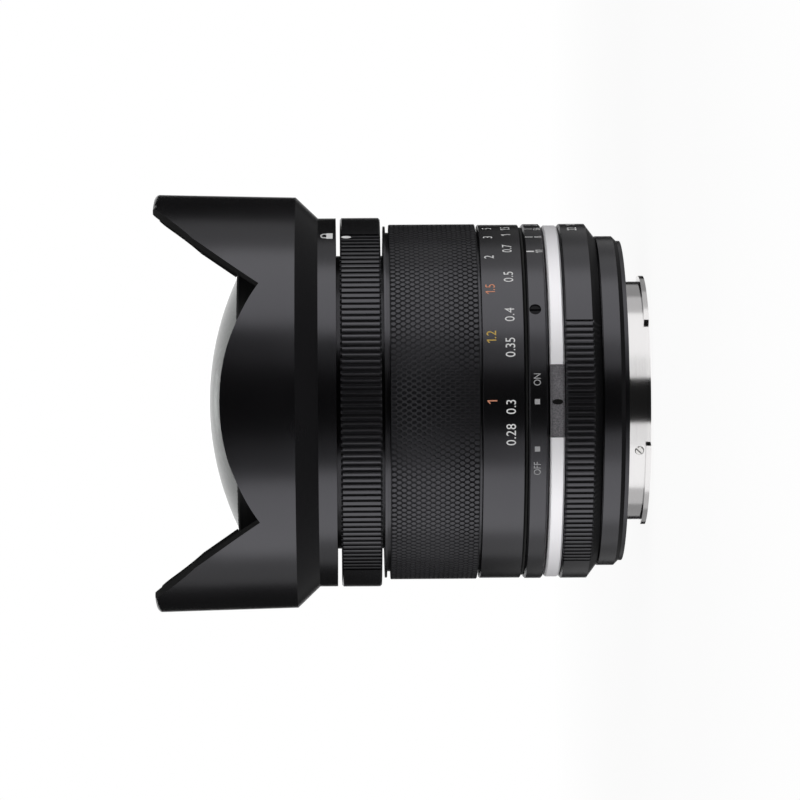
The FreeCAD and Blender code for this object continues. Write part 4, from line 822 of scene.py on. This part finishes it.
class LENS_OT_dust_seal(Operator):
    """Build the dust seal in the gap behind the distance ring"""

    bl_idname = "lens.dust_seal"
    bl_label = "Dust seal"

    def execute(self, context):
        clearance = 0.12 * MM
        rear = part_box("depth_of_field_ring")[1].z + clearance
        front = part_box("distance_ring")[0].z - clearance
        barrel_radius = 32.99 * MM
        lip = 36.3 * MM
        edge = 0.08 * MM
        mesh = bmesh.new()
        add_band(mesh, [(barrel_radius, rear), (lip - edge, rear), (lip, rear + edge), (lip, front - edge),
                        (lip - edge, front), (barrel_radius, front)])
        thing = new_piece("dust_seal", mesh, "barrel")
        dress(thing, bpy.data.materials["gasket_rubber"])
        return {"FINISHED"}


class LENS_OT_distance_numbers(Operator):
    """Paint the two rows of distance numbers"""

    bl_idname = "lens.distance_numbers"
    bl_label = "Distance numbers"

    def execute(self, context):
        settings = context.scene.lens_marks
        colours = paints(context)
        radius = outside_radius("distance_ring")
        metres = [
            ("0.28", -10.5), ("0.3", -1.8), ("0.35", 17.1), ("0.4", 28.3), ("0.5", 43.2),
            ("0.7", 57.9), ("1", 68.0), ("1.5", 75.4), ("∞", 89.0),
        ]
        feet = [
            ("1", -0.2, "red_paint"), ("1.2", 20.6, "amber_paint"), ("1.5", 38.0, "red_paint"),
            ("2", 52.9, "white_paint"), ("3", 66.1, "white_paint"), ("5", 75.6, "white_paint"),
            ("∞", 89.0, "white_paint"),
        ]
        drawings = {name: [] for name in ("white_paint", "amber_paint", "red_paint")}
        for words, turn in metres:
            drawings["white_paint"].append((self.number(words, settings), turn, settings.metres_row))
        for words, turn, colour in feet:
            drawings[colour].append((self.number(words, settings), turn, settings.feet_row))
        for colour, drawn in drawings.items():
            marks(f"distance_numbers_{colour}", drawn, radius, "focus", colours[colour])
        return {"FINISHED"}

    def number(self, words, settings):
        height = settings.digit_height
        if words == "∞":
            height = height * 0.6
        return letters(words, height, settings.digit_narrowing)


class LENS_OT_depth_marks(Operator):
    """Paint the depth of field lines and numbers, and the switch words of the de-click ring"""

    bl_idname = "lens.depth_marks"
    bl_label = "Depth of field marks"

    def execute(self, context):
        settings = context.scene.lens_marks
        radius = outside_radius("depth_of_field_ring")
        line = settings.line_width
        chamfer = 0.35 * MM
        index_length = 3.2 * MM
        line_length = 1.6 * MM
        digit_width = settings.digit_narrowing * 0.85
        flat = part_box("depth_of_field_ring")[1].z - chamfer
        index_thickness = 1.3
        drawn = [(plate(line * index_thickness, index_length), INDEX, flat - index_length / 2)]
        # number, degrees from the index, thickness of its line
        stops = [("11", 34.3, 1.6), ("8", 24.3, 1.0), ("5.6", 15.9, 1.0), ("4", 9.0, 1.0)]
        for words, away, thickness in stops:
            for side in (-1, 1):
                turn = INDEX + side * away
                drawn.append((plate(line * thickness, line_length), turn, flat - line_length / 2))
                number = letters(words, settings.small_digit_height, digit_width)
                drawn.append((number, turn, settings.depth_row))
        colours = paints(context)
        marks("depth_marks", drawn, radius, "barrel", colours["white_paint"])
        square = 1.05 * MM
        word_width = 0.8
        square_turns = (-0.2, -15.1)
        switch = [(plate(square, square), turn, settings.switch_row) for turn in square_turns]
        for words, turn in (("ON", 6.7), ("OFF", -21.5)):
            switch.append((letters(words, settings.word_height, word_width), turn, settings.switch_row))
        marks("switch_marks", switch, radius, "barrel", colours["grey_paint"])
        return {"FINISHED"}


class LENS_OT_aperture_numbers(Operator):
    """Paint the aperture numbers, and the oval mark on the silver ring's pad"""

    bl_idname = "lens.aperture_numbers"
    bl_label = "Aperture numbers"

    def execute(self, context):
        settings = context.scene.lens_marks
        radius = outside_radius("aperture_ring")
        stops = ["22", "16", "11", "8", "5.6", "4", "2.8"]
        stop_turn = 8
        drawn = []
        for step, words in enumerate(stops):
            number = letters(words, settings.digit_height, settings.digit_narrowing)
            drawn.append((number, INDEX + stop_turn * (step - stops.index("11")), settings.aperture_row))
        marks("aperture_numbers", drawn, radius, "aperture", paints(context)["white_paint"])
        pad_depth = 0.12 * MM
        pad_radius = outside_radius("declick_ring") - pad_depth
        oval_width = 1.1 * MM
        oval_length = 2.2 * MM
        oval = [(plate(oval_width, oval_length, OVAL_CORNERS), -0.3, middle_height("declick_ring"))]
        marks("declick_mark", oval, pad_radius, "declick", paints(context)["black_paint"])
        return {"FINISHED"}


class LENS_OT_lock_marks(Operator):
    """Paint the lock ring's line and a padlock sign on the hood's collar"""

    bl_idname = "lens.lock_marks"
    bl_label = "Lock marks"

    def execute(self, context):
        white = paints(context)["white_paint"]
        line_width = 1.15 * MM
        line_length = 2.0 * MM
        line = [(plate(line_width, line_length, OVAL_CORNERS), 61.4, 57.05 * MM)]
        marks("lock_line", line, outside_radius("lock_ring"), "lock", white)
        collar_radius = 38.45 * MM
        sign_size = 2.6 * MM
        sign = [(self.padlock(sign_size), 62.5, 61.1 * MM)]
        marks("padlock_sign", sign, collar_radius, "barrel", white)
        return {"FINISHED"}

    def padlock(self, height):
        """A closed padlock: a plate under a half ring."""
        widening = 1.5
        plate_width = height * 0.66
        plate_height = height * 0.5
        bow_foot = height * 0.2
        steps = 12
        mesh = plate(plate_width, plate_height)
        for vert in mesh.verts:
            vert.co.y -= plate_height / 2
        rows = []
        for radius in (height * 0.27, height * 0.17):
            row = [(radius, 0.0)]
            for step in range(steps + 1):
                angle = math.pi * step / steps
                row.append((radius * math.cos(angle), radius * math.sin(angle) + bow_foot))
            row.append((-radius, 0.0))
            rows.append([mesh.verts.new((across, up, 0)) for across, up in row])
        outer, inner = rows
        for index in range(len(outer) - 1):
            mesh.faces.new([outer[index], outer[index + 1], inner[index + 1], inner[index]])
        for vert in mesh.verts:
            vert.co.x *= widening
        return mesh


class LENS_OT_stop_screw(Operator):
    """Build the bayonet's stop screw with its slanting slot"""

    bl_idname = "lens.stop_screw"
    bl_label = "Stop screw"

    def execute(self, context):
        low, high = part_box("bayonet_stop_screw")
        middle = (low + high) / 2
        turn = math.atan2(middle.x, -middle.y)
        outward = Vector((math.sin(turn), -math.cos(turn), 0))
        around = Vector((math.cos(turn), math.sin(turn), 0))
        radius = (high.z - low.z) / 2
        top = 25.15 * MM
        foot = 24.5 * MM
        slot_floor = top - 0.4 * MM
        slant = math.radians(45)
        slot_share = 0.3
        half_slot = math.asin(slot_share)
        edge = 0.12 * MM
        steps = 16
        mesh = bmesh.new()

        def point(angle, share, level):
            upward = Vector((0, 0, math.sin(angle + slant)))
            place = around * math.cos(angle + slant) + upward
            return mesh.verts.new(outward * level + place * radius * share + Vector((0, 0, middle.z)))

        def stack(angles, levels):
            rings = [[point(angle, share, level) for angle in angles] for share, level in levels]
            for lower, upper in zip(rings, rings[1:]):
                for index in range(len(angles)):
                    beside = (index + 1) % len(angles)
                    mesh.faces.new([lower[index], lower[beside], upper[beside], upper[index]])
            mesh.faces.new(rings[-1])

        for start in (0.0, math.pi):
            span = math.pi - 2 * half_slot
            angles = [start + half_slot + span * step / steps for step in range(steps + 1)]
            stack(angles, [(1.0, slot_floor), (1.0, top - edge), (0.88, top)])
        around_shank = [math.pi * step / steps for step in range(2 * steps)]
        stack(around_shank, [(1.0, foot), (1.0, slot_floor)])
        thing = new_piece("stop_screw", mesh, "barrel")
        dress(thing, own_material("bayonet_stop_screw"))
        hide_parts("bayonet_stop_screw")
        return {"FINISHED"}


class LENS_OT_stage(Operator):
    """Set up the floor, the soft boxes, the room and the camera"""

    bl_idname = "lens.stage"
    bl_label = "Stage"

    def execute(self, context):
        settings = context.scene.lens_stage
        self.floor(context, settings)
        self.room(context, settings)
        self.lamps(context, settings)
        self.camera(context, settings)
        context.scene.view_settings.view_transform = "Standard"
        return {"FINISHED"}

    def floor(self, context, settings):
        clearance = 0.1 * MM
        mesh = bmesh.new()
        bmesh.ops.create_circle(mesh, cap_ends=True, segments=96, radius=settings.floor_width / 2)
        data = bpy.data.meshes.new("floor")
        mesh.to_mesh(data)
        mesh.free()
        thing = bpy.data.objects.new("floor", data)
        thing.location.z = CAD_BOX[0].z - clearance
        context.scene.collection.objects.link(thing)
        thing.visible_glossy = False
        thing.visible_shadow = False
        material, tree = new_material("pale_floor")
        across, along, up = tree.place()
        away = (across * across + along * along) ** 0.5
        far = away.within(0.15, 0.4)
        shadow_share = 0.07
        rays = tree.node("ShaderNodeLightPath", {}, {}).socket.node.outputs
        camera = Shade(tree, rays["Is Camera Ray"])
        through = Shade(tree, rays["Is Transmission Ray"])
        whiteness = camera * (1.0 - shadow_share + far * shadow_share) + through * far
        speckle = tree.noise(across, along, up, 300.0)
        colour = tree.blend(speckle, opaque(settings.floor, 0.98), opaque(settings.floor))
        plain = tree.node("ShaderNodeBsdfDiffuse", {}, {"Color": colour})
        white = tree.node("ShaderNodeEmission", {}, {"Color": WHITE, "Strength": 1.0})
        mixed = tree.node("ShaderNodeMixShader", {}, {0: whiteness, 1: plain, 2: white})
        tree.node("ShaderNodeOutputMaterial", {}, {"Surface": mixed})
        dress(thing, material)

    def room(self, context, settings):
        """A dim room with a white backdrop and, in reflections, a pale floor."""
        world = bpy.data.worlds.new("room")
        context.scene.world = world
        tree = Tree(world)
        direction = tree.node("ShaderNodeTexCoord", {}, {}, output="Generated")
        _, along, up = tree.split(direction)
        behind = along.within(0.97, 0.99)
        below = up.within(-0.2, -0.3)
        rays = tree.node("ShaderNodeLightPath", {}, {}).socket.node.outputs
        camera = Shade(tree, rays["Is Camera Ray"])
        mirrored = Shade(tree, rays["Is Glossy Ray"]).or_else(Shade(tree, rays["Is Transmission Ray"]))
        floor_share = 0.08
        whiteness = camera.or_else(mirrored * behind.or_else(below * floor_share))
        dim = tree.node("ShaderNodeBackground", {}, {"Color": WHITE, "Strength": settings.room_brightness})
        white = tree.node("ShaderNodeBackground", {}, {"Color": WHITE, "Strength": 1.0})
        mixed = tree.node("ShaderNodeMixShader", {}, {0: whiteness, 1: dim, 2: white})
        tree.node("ShaderNodeOutputWorld", {}, {"Surface": mixed})

    def lamps(self, context, settings):
        """Soft boxes at both sides, and three above: in front, over the lens and behind it."""
        distance = settings.lamp_distance
        upright = [  # name, first angle, last angle, bottom, top, brightness
            ("side", 42, 92, -0.65, 0.65, settings.side_brightness),
            ("rear", 92, 118, -0.65, 0.65, settings.rear_brightness),
            ("low_front", 21, 42, -0.12, -0.02, settings.low_brightness),
            ("low_rear", 92, 150, -0.12, -0.02, settings.low_brightness * 0.27),
        ]
        for side, word in ((-1, "left"), (1, "right")):
            for name, first, last, bottom, top, brightness in upright:
                width = 2 * distance * math.tan(math.radians(last - first) / 2)
                height = (bottom + top) / 2
                place = on_ring(distance, side * (first + last) / 2, height)
                axis = Vector((0, 0, height))
                self.soft_box(context, f"{name}_box_{word}", place, axis, width, top - bottom, brightness)
        above = [  # name, place, width, height, brightness
            ("front_box", (0, -0.6, 0.97), 2.0, 0.7, settings.front_brightness),
            ("top_box", (0, 0, 1.1), 1.5, 1.5, settings.top_brightness),
            ("back_box", (0, 0.91, 0.45), 0.8, 0.58, settings.back_brightness),
        ]
        centre = Vector((0, 0, settings.aim_height))
        for name, place, width, height, brightness in above:
            self.soft_box(context, name, Vector(place), centre, width, height, brightness)

    def soft_box(self, context, name, place, facing, width, height, brightness):
        """A flat lamp at a place, whose front looks towards a point."""
        lamp = bpy.data.lights.new(name, "AREA")
        lamp.shape = "RECTANGLE"
        lamp.size = width
        lamp.size_y = height
        lamp.energy = brightness * math.pi * width * height
        thing = bpy.data.objects.new(name, lamp)
        context.scene.collection.objects.link(thing)
        thing.location = place
        thing.rotation_mode = "QUATERNION"
        thing.rotation_quaternion = (place - facing).to_track_quat("Z", "Y")
        thing.visible_camera = False

    def camera(self, context, settings):
        """The picture lies on its side: the lens points left, and the index is at the top."""
        camera = bpy.data.cameras.new("camera")
        camera.lens = settings.focal_length
        camera.sensor_width = 36
        camera.clip_start = 0.05
        camera.clip_end = 20
        thing = bpy.data.objects.new("camera", camera)
        context.scene.collection.objects.link(thing)
        place = Vector((0, -settings.camera_distance, settings.camera_height))
        aim = Vector((settings.aim_side, 0, settings.aim_height))
        backward = (place - aim).normalized()
        level_right = Vector((0, 0, 1)).cross(backward).normalized()
        level_up = backward.cross(level_right)
        turn = settings.roll
        right = level_right * math.cos(turn) - level_up * math.sin(turn)
        up = level_right * math.sin(turn) + level_up * math.cos(turn)
        thing.matrix_world = Matrix.LocRotScale(place, Matrix((right, up, backward)).transposed(), None)
        context.scene.camera = thing


OPERATORS = [
    LENS_OT_finishes,
    LENS_OT_grip,
    LENS_OT_dust_seal,
    LENS_OT_distance_numbers,
    LENS_OT_depth_marks,
    LENS_OT_aperture_numbers,
    LENS_OT_lock_marks,
    LENS_OT_stop_screw,
    LENS_OT_stage,
]
SETTINGS = {
    "lens_finish": FinishSettings,
    "lens_grip": GripSettings,
    "lens_marks": MarkSettings,
    "lens_stage": StageSettings,
}


class LENS_PT_panel(Panel):
    """The lens's steps and settings, in the sidebar"""

    bl_label = "Lens"
    bl_space_type = "VIEW_3D"
    bl_region_type = "UI"
    bl_category = "Lens"

    def draw(self, context):
        for operator in OPERATORS:
            self.layout.operator(operator.bl_idname)
        for name, group in SETTINGS.items():
            box = self.layout.box()
            box.label(text=group.__doc__)
            for setting in group.__annotations__:
                box.prop(getattr(context.scene, name), setting)


def register():
    for group in SETTINGS.values():
        bpy.utils.register_class(group)
    for name, group in SETTINGS.items():
        setattr(bpy.types.Scene, name, PointerProperty(type=group))
    for operator in OPERATORS:
        bpy.utils.register_class(operator)
    bpy.utils.register_class(LENS_PT_panel)


def unregister():
    bpy.utils.unregister_class(LENS_PT_panel)
    for operator in reversed(OPERATORS):
        bpy.utils.unregister_class(operator)
    for name in SETTINGS:
        delattr(bpy.types.Scene, name)
    for group in reversed(list(SETTINGS.values())):
        bpy.utils.unregister_class(group)


def main():
    register()
    bpy.ops.lens.finishes()
    bpy.ops.lens.grip()
    bpy.ops.lens.dust_seal()
    bpy.ops.lens.distance_numbers()
    bpy.ops.lens.depth_marks()
    bpy.ops.lens.aperture_numbers()
    bpy.ops.lens.lock_marks()
    bpy.ops.lens.stop_screw()
    bpy.ops.lens.stage()


if __name__ == "__main__":
    main()
